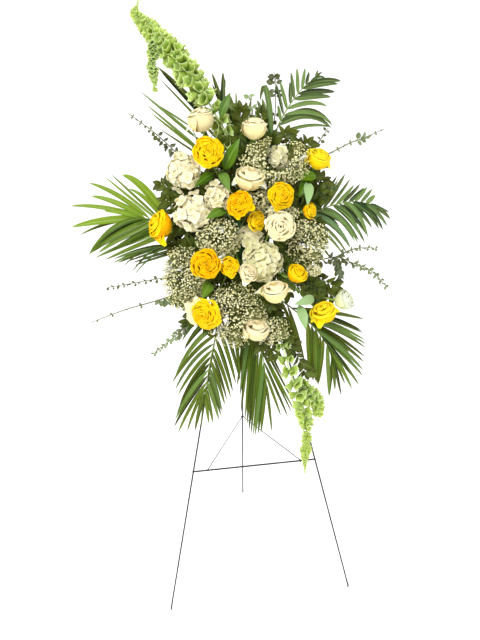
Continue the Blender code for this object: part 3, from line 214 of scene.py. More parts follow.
# Bells of Ireland as the photograph shows them: stems of stops, each a pixel, how far out it is, how far the
# bells reach from the stem there, and the gap between two whorls
BELLS = {
    "bells_top": [
        [(228, 142, 98, 19, 26), (221, 125, 108, 23, 26), (212, 108, 114, 28, 26), (202, 93, 118, 32, 23),
         (192, 78, 120, 34, 20), (182, 66, 122, 31, 17), (172, 53, 122, 29, 14), (161, 41, 120, 25, 12),
         (149, 29, 114, 21, 10), (140, 20, 108, 14, 8), (135, 13, 104, 10, 6), (136, 8, 102, 4, 6),
         (138, 2, 100, 2.2, 5), (139, -3, 98, 1.8, 5)],
        [(160, 43, 124, 8, 8), (154, 47, 126, 15, 8), (153, 54, 124, 14, 8), (152, 59, 120, 8, 8),
         (152, 65, 118, 14, 8), (153, 72, 116, 12, 7), (154, 79, 114, 8, 6), (155, 85, 112, 4, 4),
         (155, 90, 110, 7, 4)],
    ],
    "bells_bottom": [
        [(272, 318, 90, 14, 40), (281, 340, 104, 19, 38), (286, 358, 114, 20, 36), (291, 376, 122, 22, 36),
         (298, 392, 126, 23, 34), (303, 406, 128, 23, 28), (305, 418, 126, 21, 18), (307, 426, 124, 14, 13),
         (307, 430, 123, 8, 9), (307, 436, 122, 15, 8), (306, 443, 120, 11, 7), (306, 448, 119, 15, 7),
         (305, 455, 117, 11, 6), (305, 462, 114, 6, 6), (305, 467, 112, 3, 5), (305, 474, 110, 1.8, 5)],
        [(298, 380, 108, 12, 20), (306, 388, 106, 20, 18), (314, 397, 102, 23, 18), (318, 406, 98, 18, 16),
         (318, 413, 96, 14, 12)],
    ],
}

# Palm fronds: the rib's route, and combs of leaflets as the photograph shows them. A comb is where on the rib
# it begins and ends, the leaflets' width, how high they arch, and their tips in pixels.
PALM = {
    "frond_1": ("frame", [(48, 165, 55), (75, 235, 78), (104, 295, 86), (150, 352, 80), (196, 388, 62)], [
        (0.57, 0.92, 9, 0.01, [(278, 105), (276, 83), (280, 81), (290, 82), (291, 72), (297, 68), (305, 68),
            (309, 72)]),
        (0.54, 0.6, 17, 0.34, [(331, 128), (332, 125)]),
        (0.61, 0.65, 10.5, 0.3, [(331, 122)]),
        (0.66, 0.7, 13, 0.18, [(327, 106)]),
        (0.74, 0.93, 15, 0.1, [(331, 97), (335, 92), (338, 84), (341, 81)]),
        (0.93, 0.96, 7, 0.35, [(325, 78)]),
        (0.4, 0.48, 15, 0.03, [(270, 97), (262, 98), (257, 100)]),
        (0.44, 0.46, 13, 1.5, [(260, 101)]),
        (0.47, 0.49, 9, 0.2, [(331, 127)]),
        (0.44, 0.46, 6, 0.05, [(301, 130)]),
        (0.99, 1.0, 6, 0.05, [(322, 72), (318, 70)]),
    ]),
    "frond_2": ("photo", [(238, 150, 50), (230, 128, 58), (224, 112, 60), (219, 98, 58)], [
        (0.78, 1.0, 10.5, 0.02, [(212, 73), (223, 72), (225, 79)]),
        (0.55, 0.7, 21, 0.04, [(229, 94), (227, 99)]),
        (0.5, 0.6, 7, 0.0, [(236, 91), (234, 103)]),
        (0.44, 0.5, 19, 0.03, [(158, 67)]),
        (0.34, 0.4, 6, 0.0, [(160, 79)]),
        (0.4, 0.66, 9, 0.04, [(252, 96), (246, 101), (212, 84)]),
    ]),
    "frond_3": ("photo", [(212, 168, 52), (203, 153, 58), (198, 141, 62), (190, 125, 60)], [
        (0.82, 0.88, 6, 0.0, [(140, 91), (141, 92)]),
        (0.96, 1.0, 5.5, 0.02, [(154, 103)]),
        (0.64, 0.7, 6, 0.0, [(151, 113), (147, 105)]),
        (0.56, 0.6, 5.5, 0.0, [(160, 129)]),
    ]),
    "frond_4": ("photo", [(186, 228, 62), (166, 222, 78), (143, 218, 84)], [
        (0.7, 0.74, 18.5, 0.32, [(122, 175)]),
        (0.74, 0.8, 11, 0.25, [(129, 189)]),
        (0.78, 0.86, 7, 0.0, [(111, 174), (105, 177)]),
        (0.9, 1.0, 14, 0.14, [(89, 183), (91, 196)]),
        (0.97, 1.0, 11, 0.09, [(70, 206), (104, 211)]),
        (0.96, 1.0, 19, 0.06, [(72, 227)]),
        (0.97, 1.0, 9, 0.14, [(80, 235)]),
        (0.93, 1.0, 15, 0.33, [(89, 254), (91, 252)]),
        (0.88, 0.97, 15, 0.2, [(96, 246), (103, 246)]),
        (0.68, 0.95, 15.5, 0.09, [(112, 250), (106, 248), (98, 253), (89, 254)]),
        (0.5, 0.8, 12, 0.05, [(105, 260), (95, 258), (112, 250), (120, 246)]),
    ]),
    "frond_5": ("frame", [(-100, -20, 48), (-150, -18, 60), (-205, -12, 64), (-262, -16, 55),
                          (-305, -26, 45)], [
        (0.25, 0.85, 8, 0.03, [(133, 266), (132, 263), (126, 262), (117, 263), (113, 263)]),
        (0.3, 0.8, 8, 0.05, [(134, 255), (124, 257), (114, 259)]),
        (0.4, 0.9, 5, 0.1, [(151, 250), (129, 252), (134, 275), (132, 272), (124, 266)]),
    ]),
    "frond_6": ("frame", [(100, 30, 55), (160, 42, 70), (228, 64, 76), (291, 72, 70), (350, 60, 52)], [
        (0.3, 0.97, 11.5, -0.04, [(322, 188), (327, 186), (337, 176), (338, 180), (345, 174), (350, 179),
            (354, 185), (360, 184), (364, 188), (367, 187), (372, 189), (375, 195)]),
        (0.15, 0.55, 10, 0.32, [(333, 262), (344, 256), (348, 255), (351, 249), (355, 242)]),
        (0.55, 1.0, 12.5, 0.2, [(359, 241), (365, 243), (366, 234), (372, 228), (379, 229), (383, 230),
            (387, 226), (390, 219)]),
        (0.4, 0.8, 12.5, 0.3, [(350, 246), (358, 243), (362, 239), (368, 238)]),
        (0.25, 0.9, 12.5, 0.1, [(340, 226), (352, 228), (360, 225), (374, 218)]),
        (0.42, 0.86, 12, 0.1, [(338, 224), (345, 221), (351, 219), (358, 218), (364, 216)]),
        (0.98, 1.0, 7, 0.02, [(389, 212)]),
    ]),
    "frond_7": ("frame", [(60, -160, 60), (118, -210, 82), (172, -262, 90), (212, -318, 84),
                          (238, -366, 68)], [
        (0.4, 0.98, 11.5, 0.08, [(363, 333), (365, 340), (366, 348), (365, 357), (364, 362), (363, 370),
            (363, 376), (359, 385), (352, 389), (341, 395), (329, 397)]),
        (0.57, 0.7, 18, 0.0, [(310, 377), (313, 381), (317, 383)]),
        (0.3, 0.42, 10, 0.1, [(300, 352), (305, 364)]),
        (0.42, 0.46, 12.5, 0.06, [(364, 319)]),
        (0.46, 0.5, 12.5, 0.14, [(362, 331)]),
        (0.56, 0.6, 12.5, 0.1, [(366, 344)]),
        (0.72, 0.8, 13, 0.0, [(315, 381), (318, 385)]),
        (0.82, 0.86, 11, 0.0, [(329, 396)]),
        (0.5, 0.98, 11, 0.05, [(349, 352), (352, 362), (350, 374), (345, 384), (335, 390)]),
    ]),
    "frond_8": ("frame", [(-50, -165, 72), (-82, -225, 92), (-108, -285, 102), (-130, -370, 102),
                          (-146, -450, 84)], [
        (0.28, 0.38, 17, 0.42, [(182, 341), (184, 350)]),
        (0.38, 0.6, 13, 0.24, [(176, 374), (172, 383), (175, 390)]),
        (0.58, 0.97, 11.5, 0.16, [(178, 395), (180, 404), (177, 413), (175, 420), (174, 427), (178, 433),
            (187, 432), (195, 431)]),
        (0.36, 0.62, 11.5, 0.14, [(240, 380), (236, 384), (233, 392), (231, 398)]),
        (0.6, 0.97, 10.5, 0.1, [(227, 400), (225, 405), (222, 412), (221, 416), (219, 420), (213, 423),
            (209, 424)]),
        (0.2, 0.3, 12, 0.04, [(240, 378), (248, 370)]),
        (0.98, 1.0, 6, 0.0, [(201, 429)]),
    ]),
    "frond_9": ("photo", [(256, 340, 90), (262, 352, 100), (267, 388, 96)], [
        (0.25, 0.95, 10.5, 0.02, [(240, 396), (241, 412), (245, 421), (247, 426), (249, 431), (251, 435),
            (253, 436), (255, 436), (258, 435), (261, 433)]),
        (0.25, 0.85, 11, 0.02, [(243, 400), (247, 412), (251, 420), (255, 424), (258, 422)]),
        (0.12, 0.2, 10, 0.05, [(236, 366), (239, 372)]),
        (0.28, 0.4, 12, 0.03, [(237, 386), (240, 392)]),
        (0.12, 0.26, 8.5, 0.0, [(284, 362), (287, 369)]),
        (0.25, 1.0, 8, 0.01, [(281, 375), (283, 378), (294, 403), (294, 410), (292, 413), (288, 417),
            (281, 416), (272, 432)]),
    ]),
}

# Eucalyptus branches: the fork on the main twig, the route from there, and runs of leaves. A run is the
# leaves' length, how many pairs, where on the branch they begin and end, how much they hang, and their tone
# from 0 (dark) to 1 (sage).
EUCALYPTUS = {
    "eucalyptus_1": [
        (None, "frame", [(-100, 110, 40), (-138, 180, 50), (-209, 258, 56), (-284, 320, 48)],
         [(20, 10, 0.54, 0.8, 0.8, 0.0), (9, 5, 0.8, 0.98, 0.2, 0.0)]),
    ],
    "eucalyptus_2": [
        (None, "frame", [(30, 165, 78), (62, 225, 66), (88, 300, 60), (94, 405, 45)],
         [(18, 3, 0.52, 0.72, 0.0, 0.0), (20, 4, 0.82, 0.88, 0.2, 0.0), (20, 5, 0.92, 0.98, 0.2, 0.0)]),
        ((46, 195, 72), "frame", [(34, 250, 82), (26, 310, 78), (22, 350, 70)],
         [(22, 7, 0.4, 1.0, 0.0, 0.9)]),
    ],
    "eucalyptus_3": [
        (None, "photo", [(300, 166, 64), (330, 153, 60), (350, 143, 54), (366, 137, 46), (384, 129, 36)],
         [(10, 12, 0.45, 1.0, 0.0, 0.6), (18, 4, 0.79, 0.87, 0.0, 0.4)]),
        ((170, 165, 62), "frame", [(190, 215, 70), (226, 262, 64)],
         [(13, 5, 0.3, 1.0, 0.3, 0.0)]),
    ],
    "eucalyptus_4": [
        (None, "frame", [(110, -42, 58), (180, -78, 68), (244, -75, 68), (290, -94, 60), (350, -124, 50),
         (402, -176, 40)],
         [(24, 10, 0.34, 0.66, 0.4, 0.1), (16, 11, 0.66, 1.0, 0.3, 0.5)]),
        ((244, -75, 68), "frame", [(300, -56, 62), (368, -60, 50)],
         [(13, 9, 0.1, 1.0, 0.1, 0.4)]),
        ((244, -75, 68), "frame", [(250, -105, 74), (254, -142, 72)],
         [(22, 9, 0.05, 1.0, 0.6, 0.1)]),
    ],
    "eucalyptus_5": [
        (None, "frame", [(-100, -106, 52), (-160, -108, 62), (-235, -102, 66), (-310, -110, 60),
         (-385, -120, 50)],
         [(14, 20, 0.2, 1.0, 0.3, 0.0)]),
        ((-145, -108, 60), "frame", [(-215, -150, 70), (-340, -182, 56), (-436, -213, 46)],
         [(32, 7, 0.08, 0.36, 1.2, 0.45), (9, 4, 0.45, 1.0, 0.2, 0.3)]),
        ((-130, -107, 56), "photo", [(193, 300, 64), (189, 316, 69), (184, 328, 70), (174, 337, 68),
         (163, 346, 64), (153, 354, 60)],
         [(26, 9, 0.36, 0.66, 0.3, 0.35), (14, 9, 0.66, 1.0, 0.3, 0.7)]),
    ],
}

# Broad leaves among the roses as the photograph shows them: stem bundle, spots of the base and the tip,
# width, and tone from 0 (bright) to 1 (sage)
BROAD_LEAVES = [
    ("upper_left", (224, 170, 150), (239, 139, 185), 30, 0.0),
    ("upper_left", (221, 172, 150), (229, 190, 200), 24, 0.15),
    ("upper_left", (213, 174, 140), (195, 186, 195), 22, 0.0),
    ("upper_left", (228, 207, 150), (207, 218, 195), 28, 0.05),
    ("upper_left", (220, 117, 130), (230, 93, 140), 22, 0.1),
    ("upper_right", (316, 176, 130), (296, 178, 158), 26, 0.0),
    ("upper_right", (309, 175, 125), (299, 197, 150), 26, 0.0),
    ("upper_right", (308, 182, 135), (308, 204, 185), 25, 0.85),
    ("lower_left", (210, 283, 150), (203, 297, 205), 30, 0.05),
    ("lower_right", (314, 298, 140), (296, 304, 185), 26, 0.9),
    ("lower_right", (299, 305, 150), (306, 329, 190), 26, 0.8),
]

# Sprays of dark leaves among the stems, which hide the foam: face of the foam, place on it, and the tip
GREENS = {
    "greens_upper": [
        ("top", -46, 70, "frame", (-110, 235, 100)), ("top", -26, 72, "frame", (-60, 240, 112)),
        ("top", 4, 72, "frame", (10, 235, 115)), ("top", 26, 70, "frame", (75, 245, 105)),
        ("top", 48, 68, "frame", (135, 225, 100)), ("front", -20, 100, "frame", (-45, 180, 135)),
        ("front", 15, 98, "frame", (30, 175, 138)), ("front", 46, 90, "frame", (105, 150, 130)),
        ("top", 40, 64, "photo", (286, 132, 88)), ("top", 20, 70, "photo", (262, 112, 80)),
        ("top", 12, 72, "photo", (240, 108, 80)), ("top", 50, 60, "photo", (308, 142, 84)),
        ("top", -10, 74, "photo", (240, 132, 120)), ("front", 0, 104, "photo", (242, 150, 130))],
    "greens_left": [
        ("left", 98, 70, "frame", (-180, 150, 88)), ("left", 56, 74, "frame", (-170, 110, 100)),
        ("left", 14, 74, "frame", (-190, 35, 100)), ("left", -34, 70, "frame", (-195, -50, 98)),
        ("left", -62, 66, "frame", (-205, -110, 95)), ("left", -96, 68, "frame", (-170, -175, 95)),
        ("front", -50, 52, "frame", (-110, 60, 125)), ("front", -50, -14, "frame", (-120, -10, 130)),
        ("front", -50, -70, "frame", (-110, -110, 135)), ("left", 88, 60, "photo", (160, 184, 80)),
        ("left", 66, 62, "photo", (164, 200, 85)), ("left", 46, 66, "photo", (172, 212, 95)),
        ("left", -46, 72, "photo", (172, 244, 90)), ("front", -52, 30, "photo", (196, 180, 140)),
        ("left", -80, 70, "photo", (186, 322, 85)), ("front", -52, -40, "photo", (186, 246, 120)),
        ("front", -46, 86, "photo", (203, 176, 135)), ("left", -20, 70, "photo", (174, 232, 85)),
        ("front", -50, -86, "photo", (210, 292, 130)), ("left", -70, 74, "photo", (176, 300, 95)),
        ("front", -46, -30, "photo", (214, 240, 140))],
    "greens_right": [
        ("right", 98, 70, "frame", (180, 150, 90)), ("right", 52, 74, "frame", (185, 85, 100)),
        ("right", 8, 72, "frame", (190, 20, 100)), ("right", -80, 68, "frame", (190, -165, 95)),
        ("front", 50, 50, "frame", (115, 60, 130)), ("front", 50, -10, "frame", (120, -10, 130)),
        ("front", 50, -60, "frame", (130, -75, 130)), ("right", 88, 64, "photo", (324, 180, 85)),
        ("right", 72, 66, "photo", (322, 192, 90)), ("right", 64, 60, "photo", (326, 194, 78)),
        ("right", -64, 66, "photo", (338, 288, 85)), ("right", -86, 64, "photo", (336, 298, 85)),
        ("right", -72, 72, "photo", (320, 288, 110)), ("front", 52, 70, "photo", (298, 190, 130)),
        ("front", 40, 6, "photo", (279, 244, 150)), ("front", 20, 60, "photo", (256, 196, 125)),
        ("front", 0, 30, "photo", (246, 208, 125)), ("front", 24, 64, "photo", (270, 183, 115)),
        ("right", 30, 72, "photo", (322, 240, 95)), ("right", -30, 72, "photo", (312, 257, 100)),
        ("front", 48, -40, "photo", (292, 256, 140)), ("front", 50, -86, "photo", (318, 300, 110)),
        ("front", 48, 30, "photo", (300, 222, 130)), ("right", 104, 50, "photo", (322, 160, 80))],
    "greens_lower": [
        ("bottom", -48, 72, "frame", (-125, -235, 105)), ("bottom", -20, 74, "frame", (-55, -255, 110)),
        ("bottom", 10, 72, "frame", (10, -265, 110)), ("front", -20, -98, "frame", (-50, -175, 135)),
        ("front", 16, -98, "frame", (40, -185, 135)), ("front", 46, -86, "frame", (98, -152, 130)),
        ("front", 0, -60, "frame", (-10, -110, 140)), ("bottom", 46, 72, "photo", (292, 350, 105)),
        ("bottom", 48, 60, "photo", (306, 374, 100)), ("front", 12, -80, "photo", (262, 292, 150)),
        ("front", -12, -50, "photo", (238, 286, 150)), ("bottom", 30, 74, "photo", (274, 356, 110)),
        ("bottom", 20, 76, "photo", (290, 338, 110)), ("front", -30, -100, "photo", (218, 308, 140)),
        ("bottom", -30, 76, "photo", (232, 336, 120)), ("front", 10, -108, "photo", (254, 312, 135)),
        ("bottom", -10, 78, "photo", (262, 346, 115))],
}


def camera_axes():
    """The camera's right, up and ahead."""
    ahead = Vector((math.sin(YAW) * math.cos(PITCH), math.cos(YAW) * math.cos(PITCH), math.sin(PITCH)))
    right = Vector((math.cos(YAW), -math.sin(YAW), 0))
    up = right.cross(ahead)
    return right * math.cos(ROLL) + up * math.sin(ROLL), up * math.cos(ROLL) - right * math.sin(ROLL), ahead


def spray_frame():
    right = Vector((1, 0, 0))
    up = Vector((0, math.sin(LEAN), math.cos(LEAN)))
    turn = Matrix((right, up, right.cross(up))).transposed().to_4x4()
    middle = (MIDDLE_X, FRONT_Y + SPRAY_UP * math.sin(LEAN), SPRAY_UP * math.cos(LEAN))
    return Matrix.Translation(middle) @ turn


# The spray's frame and the way back to it, and the camera's place, right and up in it
SPRAY = spray_frame()
BACK = SPRAY.inverted()
VIEW = np.array(BACK @ Vector(EYE))
RIGHT, OVER = (np.array(BACK.to_3x3() @ way) for way in camera_axes()[:2])


def unit(v):
    return v / np.maximum(np.linalg.norm(v, axis=-1, keepdims=True), 1e-9)


def at_pixel(x, y, out):
    """The spot of the spray's own frame that the photograph shows at a pixel, that far out from the easel."""
    right, up, ahead = camera_axes()
    ray = ahead + right * (x - PHOTO_WIDTH / 2) / FOCAL + up * (PHOTO_HEIGHT / 2 - y) / FOCAL
    eye, ray = BACK @ Vector(EYE), BACK.to_3x3() @ ray
    return np.array(eye + ray * (out - eye.z) / ray.z)


def spots(kind, stops):
    """Where a table's stops lie in the spray's own frame, in metres."""
    if kind == "photo":
        return [at_pixel(x, y, out / 1000) for x, y, out in stops]
    return [np.array(stop) / 1000 for stop in stops]


def on_face(face, a, b):
    """The spot with these two coordinates, in millimetres, on a face of the foam, and the way out of it."""
    a, b = a / 1000, b / 1000
    place, outward = {
        "front": ((a, b, FOAM_FRONT), (0, 0, 1)),
        "top": ((a, FOAM_HALF_Y, b), (0, 1, 0)),
        "bottom": ((a, -FOAM_HALF_Y, b), (0, -1, 0)),
        "left": ((-FOAM_HALF_X, a, b), (-1, 0, 0)),
        "right": ((FOAM_HALF_X, a, b), (1, 0, 0)),
    }[face]
    return Vector(place), Vector(outward)


def socket_points(name):
    """A stem's end inside the foam, the spot just outside its hole, and the way out."""
    mouth, outward = on_face(*SOCKETS[name])
    return np.array(mouth - outward * STEM_DEPTH), np.array(mouth + outward * STEM_OUT), np.array(outward)


def axes_towards(way, roll=0.0):
    """Three axes as columns, the last of them along way."""
    return np.array(Vector(way).to_track_quat("Z", "Y").to_matrix() @ Matrix.Rotation(roll, 3, "Z"))


def jitter(draw, size):
    return np.array([draw.gauss(0, size) for i in range(3)])


def facing_out(draw, size):
    """A way out to the front, a little aside."""
    return unit(np.array([draw.gauss(0, size), draw.gauss(0, size), 1.0]))


def nearest(points, spot):
    return points[np.argmin(np.linalg.norm(points - spot, axis=1))]


def bezier(p0, p1, p2, p3, count):
    t = np.linspace(0, 1, count + 1)[:, None]
    return p0 * (1 - t) ** 3 + 3 * p1 * t * (1 - t) ** 2 + 3 * p2 * t * t * (1 - t) + p3 * t ** 3


def smooth_route(stops, steps, lead=None):
    """A smooth curve through the stops, with steps between two of them, that sets off along lead."""
    stops = [np.array(p, float) for p in stops]
    points = [stops[0][None]]
    for i in range(len(stops) - 1):
        before = stops[max(i - 1, 0)]
        after = stops[min(i + 2, len(stops) - 1)]
        a, b = stops[i], stops[i + 1]
        leave = (b - before) / 6
        if i == 0 and lead is not None:
            leave = lead * np.linalg.norm(b - a) / 3
        points.append(bezier(a, a + leave, b - (after - a) / 6, b, steps)[1:])
    return np.concatenate(points)


def stem_route(name, stops, steps):
    inside, mouth, outward = socket_points(name)
    return np.concatenate([inside[None], smooth_route([mouth] + list(stops), steps, outward)])


def evenly(route, count):
    """Points spaced evenly along a route, the way ahead at each, and the route's length."""
    steps = np.linalg.norm(np.diff(route, axis=0), axis=1)
    reach = np.concatenate([[0], np.cumsum(steps)])
    at = np.linspace(0, reach[-1], count)
    points = np.stack([np.interp(at, reach, route[:, k]) for k in range(3)], -1)
    return points, unit(np.gradient(points, axis=0)), steps.sum()


def shares(rows, cols, bunch=1.0):
    """Along from 0 to 1 and across from -1 to 1 for every point of a grid."""
    return np.meshgrid(np.linspace(0, 1, rows) ** bunch, np.linspace(-1, 1, cols), indexing="ij")


def bulge(t, ease, begin, power):
    """How wide a petal is along its length: narrow at its foot, full past its middle."""
    return np.sin(np.clip(t * ease + begin, 0, 1) * math.pi) ** power


def around(r, angle, h):
    """Points at a distance and an angle round the axis, at a height."""
    return np.stack(np.broadcast_arrays(r * np.cos(angle), r * np.sin(angle), h), -1)


def turned(x, y, z, angle):
    """A grid turned round the axis by an angle."""
    return np.stack([x * math.cos(angle) - y * math.sin(angle),
                     x * math.sin(angle) + y * math.cos(angle), z], -1)


def walls(index, after):
    """Quads between the rows of a grid and the next point of each row."""
    return np.stack([index[:-1], after[:-1], after[1:], index[1:]], -1).reshape(-1, 4)


def sheet_faces(rows, cols, closed):
    """Quads of a thin sheet: front, back, and the rim between them. The rows of a closed one run all the way
    round."""
    back = rows * cols
    index = np.arange(back).reshape(rows, cols)
    if closed:
        after = np.roll(index, -1, axis=1)
        front = walls(index, after)
        foot = np.stack([after[0], index[0], index[0] + back, after[0] + back], -1)
        mouth = np.stack([index[-1], after[-1], after[-1] + back, index[-1] + back], -1)
        return np.concatenate([front, front[:, ::-1] + back, foot, mouth])
    front = walls(index[:, :-1], index[:, 1:])
    rim = np.concatenate([index[0, :-1], index[:-1, -1], index[-1, :0:-1], index[:0:-1, 0]])
    after = np.roll(rim, -1)
    border = np.stack([after, rim, rim + back, after + back], -1)
    return np.concatenate([front, front[:, ::-1] + back, border])


class Heap:
    """Collects many closed shapes as one mesh. Each point keeps how far it is across and along its petal or
    leaf, a pick that differs from petal to petal, and a shade: how much of a second colour it takes, which on
    inner rose petals is partly painted shade and on some palm leaflets a painted sheen."""

    def __init__(self):
        self.points, self.quads, self.sheet, self.shade, self.slots = [], [], [], [], []
        self.count = 0

    def add(self, points, quads, across, along, pick, shade, slot=0):
        self.points.append(points)
        self.quads.append(quads + self.count)
        self.sheet.append(np.stack([across, along, np.full(len(points), pick)], -1))
        self.shade.append(np.full(len(points), shade))
        self.slots.append(np.full(len(quads), slot))
        self.count += len(points)

    def add_sheet(self, grid, thick, pick, shade=0.0, slot=0, closed=False):
        """A thin sheet with two faces through a grid of points, a cup when its rows run all the way round."""
        rows, cols = grid.shape[:2]
        down = np.gradient(grid, axis=0)
        if closed:
            right = np.roll(grid, -1, axis=1) - np.roll(grid, 1, axis=1)
            across = np.cos(np.arange(cols) * 2 * math.pi / cols)
        else:
            right = np.gradient(grid, axis=1)
            across = np.linspace(-1, 1, cols)
        half = unit(np.cross(right, down)) * np.broadcast_to(thick, (rows, cols))[..., None] / 2
        points = np.concatenate([(grid + half).reshape(-1, 3), (grid - half).reshape(-1, 3)])
        self.add(points, sheet_faces(rows, cols, closed), np.tile(across, rows * 2),
                 np.tile(np.repeat(np.linspace(0, 1, rows), cols), 2), pick, shade, slot)

    def add_rod(self, route, radii, sides, pick, slot=0):
        """A stem along a route that narrows to almost nothing past both ends."""
        route = np.asarray(route, float)
        ahead = unit(np.gradient(route, axis=0))
        side = np.cross(ahead[0], [0.3, 0.5, 0.8])
        rings = []
        turn = np.arange(sides) * 2 * math.pi / sides
        for point, way, radius in zip(route, ahead, radii):
            side = unit(side - way * (side @ way))
            other = np.cross(way, side)
            rings.append(point + radius * (np.cos(turn)[:, None] * side + np.sin(turn)[:, None] * other))
        rings.insert(0, route[0] + (rings[0] - route[0]) * 0.04)
        rings.append(route[-1] + (rings[-1] - route[-1]) * 0.04)
        rings = np.array(rings)
        rows = len(rings)
        index = np.arange(rows * sides).reshape(rows, sides)
        self.add(rings.reshape(-1, 3), walls(index, np.roll(index, -1, axis=1)), np.tile(np.cos(turn), rows),
                 np.repeat(np.linspace(0, 1, rows), sides), pick, 0.0, slot)

    def to_piece(self, name, node, looks):
        """Makes the mesh in its place in the object's frame, and has it ride and replace its CAD node."""
        matrix = np.array(SPRAY)
        points = np.concatenate(self.points) @ matrix[:3, :3].T + matrix[:3, 3]
        quads = np.concatenate(self.quads)
        mesh = bpy.data.meshes.new(name)
        mesh.vertices.add(len(points))
        mesh.vertices.foreach_set("co", points.ravel())
        mesh.loops.add(quads.size)
        mesh.loops.foreach_set("vertex_index", quads.ravel().astype(np.int32))
        mesh.polygons.add(len(quads))
        mesh.polygons.foreach_set("loop_start", np.arange(0, quads.size, 4, dtype=np.int32))
        mesh.update(calc_edges=True)
        for look in looks:
            mesh.materials.append(look)
        mesh.polygons.foreach_set("material_index", np.concatenate(self.slots).astype(np.int32))
        sheet = mesh.attributes.new("sheet", "FLOAT_VECTOR", "POINT")
        sheet.data.foreach_set("vector", np.concatenate(self.sheet).ravel())
        shade = mesh.attributes.new("shade", "FLOAT", "POINT")
        shade.data.foreach_set("value", np.concatenate(self.shade))
        mesh.polygons.foreach_set("use_smooth", np.ones(len(quads), bool))
        mesh.set_sharp_from_angle(angle=CREASE)
        piece = bpy.data.objects.new(name, mesh)
        bpy.context.scene.collection.objects.link(piece)
        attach(piece, "stand")
        if node is not None:
            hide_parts(node)


class Look:
    """A material built from nodes by short calls."""

    def __init__(self, name, roughness, gloss=0.28, subsurface=0.0, radius=(1.0, 0.6, 0.3), depth=0.006):
        self.made = bpy.data.materials.new(name)
        self.made.use_nodes = True
        self.tree = self.made.node_tree
        self.shader = self.tree.nodes["Principled BSDF"]
        self.shader.inputs["Roughness"].default_value = roughness
        self.shader.inputs["Specular IOR Level"].default_value = gloss
        if subsurface:
            self.shader.inputs["Subsurface Weight"].default_value = subsurface
            self.shader.inputs["Subsurface Radius"].default_value = radius
            self.shader.inputs["Subsurface Scale"].default_value = depth

    def new(self, kind, **settings):
        made = self.tree.nodes.new(kind)
        for key, value in settings.items():
            setattr(made, key, value)
        return made

    def link(self, out, into):
        self.tree.links.new(out, into)

    def fill(self, values, sockets):
        """Gives each socket its number or colour, or links it to a node's output."""
        for value, socket in zip(values, sockets):
            if isinstance(value, (int, float)):
                socket.default_value = value
            elif isinstance(value, tuple):
                socket.default_value = (*value, 1.0)
            else:
                self.link(value, socket)

    def sheet(self):
        """Across, along and pick of the petal or leaf, and its shade."""
        parts = self.new("ShaderNodeSeparateXYZ")
        self.link(self.new("ShaderNodeAttribute", attribute_name="sheet").outputs["Vector"], parts.inputs[0])
        self.across, self.along, self.pick = parts.outputs[:3]
        self.shade = self.new("ShaderNodeAttribute", attribute_name="shade").outputs["Fac"]

    def math(self, kind, a, b=0.0, c=0.0):
        made = self.new("ShaderNodeMath", operation=kind)
        self.fill((a, b, c), made.inputs)
        return made.outputs[0]

    def noise(self, scale, detail=3.0, vector=None):
        made = self.new("ShaderNodeTexNoise")
        made.inputs["Scale"].default_value = scale
        made.inputs["Detail"].default_value = detail
        if vector is None:
            vector = self.new("ShaderNodeTexCoord").outputs["Object"]
        self.link(vector, made.inputs["Vector"])
        return made.outputs[0]

    def streaks(self, detail, across, along, pick):
        """Noise drawn out along the petal or leaf, and different on each."""
        made = self.new("ShaderNodeCombineXYZ")
        self.fill([self.math("MULTIPLY", part, by) for part, by in
                   ((self.across, across), (self.along, along), (self.pick, pick))], made.inputs)
        return self.noise(1.0, detail, made.outputs[0])

    def ramp(self, value, stops):
        made = self.new("ShaderNodeValToRGB")
        bar = made.color_ramp
        while len(bar.elements) < len(stops):
            bar.elements.new(0.5)
        for element, (at, colour) in zip(bar.elements, stops):
            element.position = at
            element.color = (*colour, 1.0) if isinstance(colour, tuple) else (colour, colour, colour, 1.0)
        self.link(value, made.inputs[0])
        return made.outputs[0]

    def mix(self, factor, a, b, kind="MIX"):
        made = self.new("ShaderNodeMix", data_type="RGBA", blend_type=kind)
        self.fill((factor, a, b), (made.inputs[0], made.inputs[6], made.inputs[7]))
        return made.outputs[2]

    def bump(self, height, strength, distance):
        made = self.new("ShaderNodeBump")
        made.inputs["Strength"].default_value = strength
        made.inputs["Distance"].default_value = distance
        self.link(height, made.inputs["Height"])
        self.link(made.outputs[0], self.shader.inputs["Normal"])

    def paint(self, colour):
        self.link(colour, self.shader.inputs["Base Color"])
        return self.made


def petal_look(name, foot, middle, rim, heart, tint, veins=0.10, stops=(0.50, 0.80, 0.95), gloss=0.20):
    """A petal: deep at its foot, partly its own deeper colour and partly painted shade down among the petals,
    bright at its rim, with fine veins lengthwise and a tint on some petals.
    """
    look = Look(name, 0.62, gloss, 0.40, (1.0, 0.75, 0.40), 0.005)
    look.sheet()
    # Darker at the foot: partly each flower's own deeper colour, partly painted shade where the foot sits
    # deep among the petals or inside the bell.
    colour = look.ramp(look.along, list(zip(stops, (foot, middle, rim))))
    # The shade value mixes in the heart colour. On roses it deepens the inner petals, partly their own deeper
    # colour and partly painted shade deep in the bloom. On other flowers it is their own tint.
    colour = look.mix(look.math("MULTIPLY", look.shade, 0.55), colour, heart)
    colour = look.mix(look.ramp(look.pick, [(0.35, 0.0), (1.0, 0.45)]), colour, tint)
    lines = look.streaks(2.0, 16.0, 1.6, 40.0)
    colour = look.mix(look.ramp(lines, [(0.40, 0.0), (0.75, veins * 3)]), colour, foot)
    mottle = look.ramp(look.noise(60.0, 4.0), [(0.35, 0.92), (0.65, 1.0)])
    look.bump(lines, 0.30, 0.0005)
    return look.paint(look.mix(1.0, colour, mottle, "MULTIPLY"))


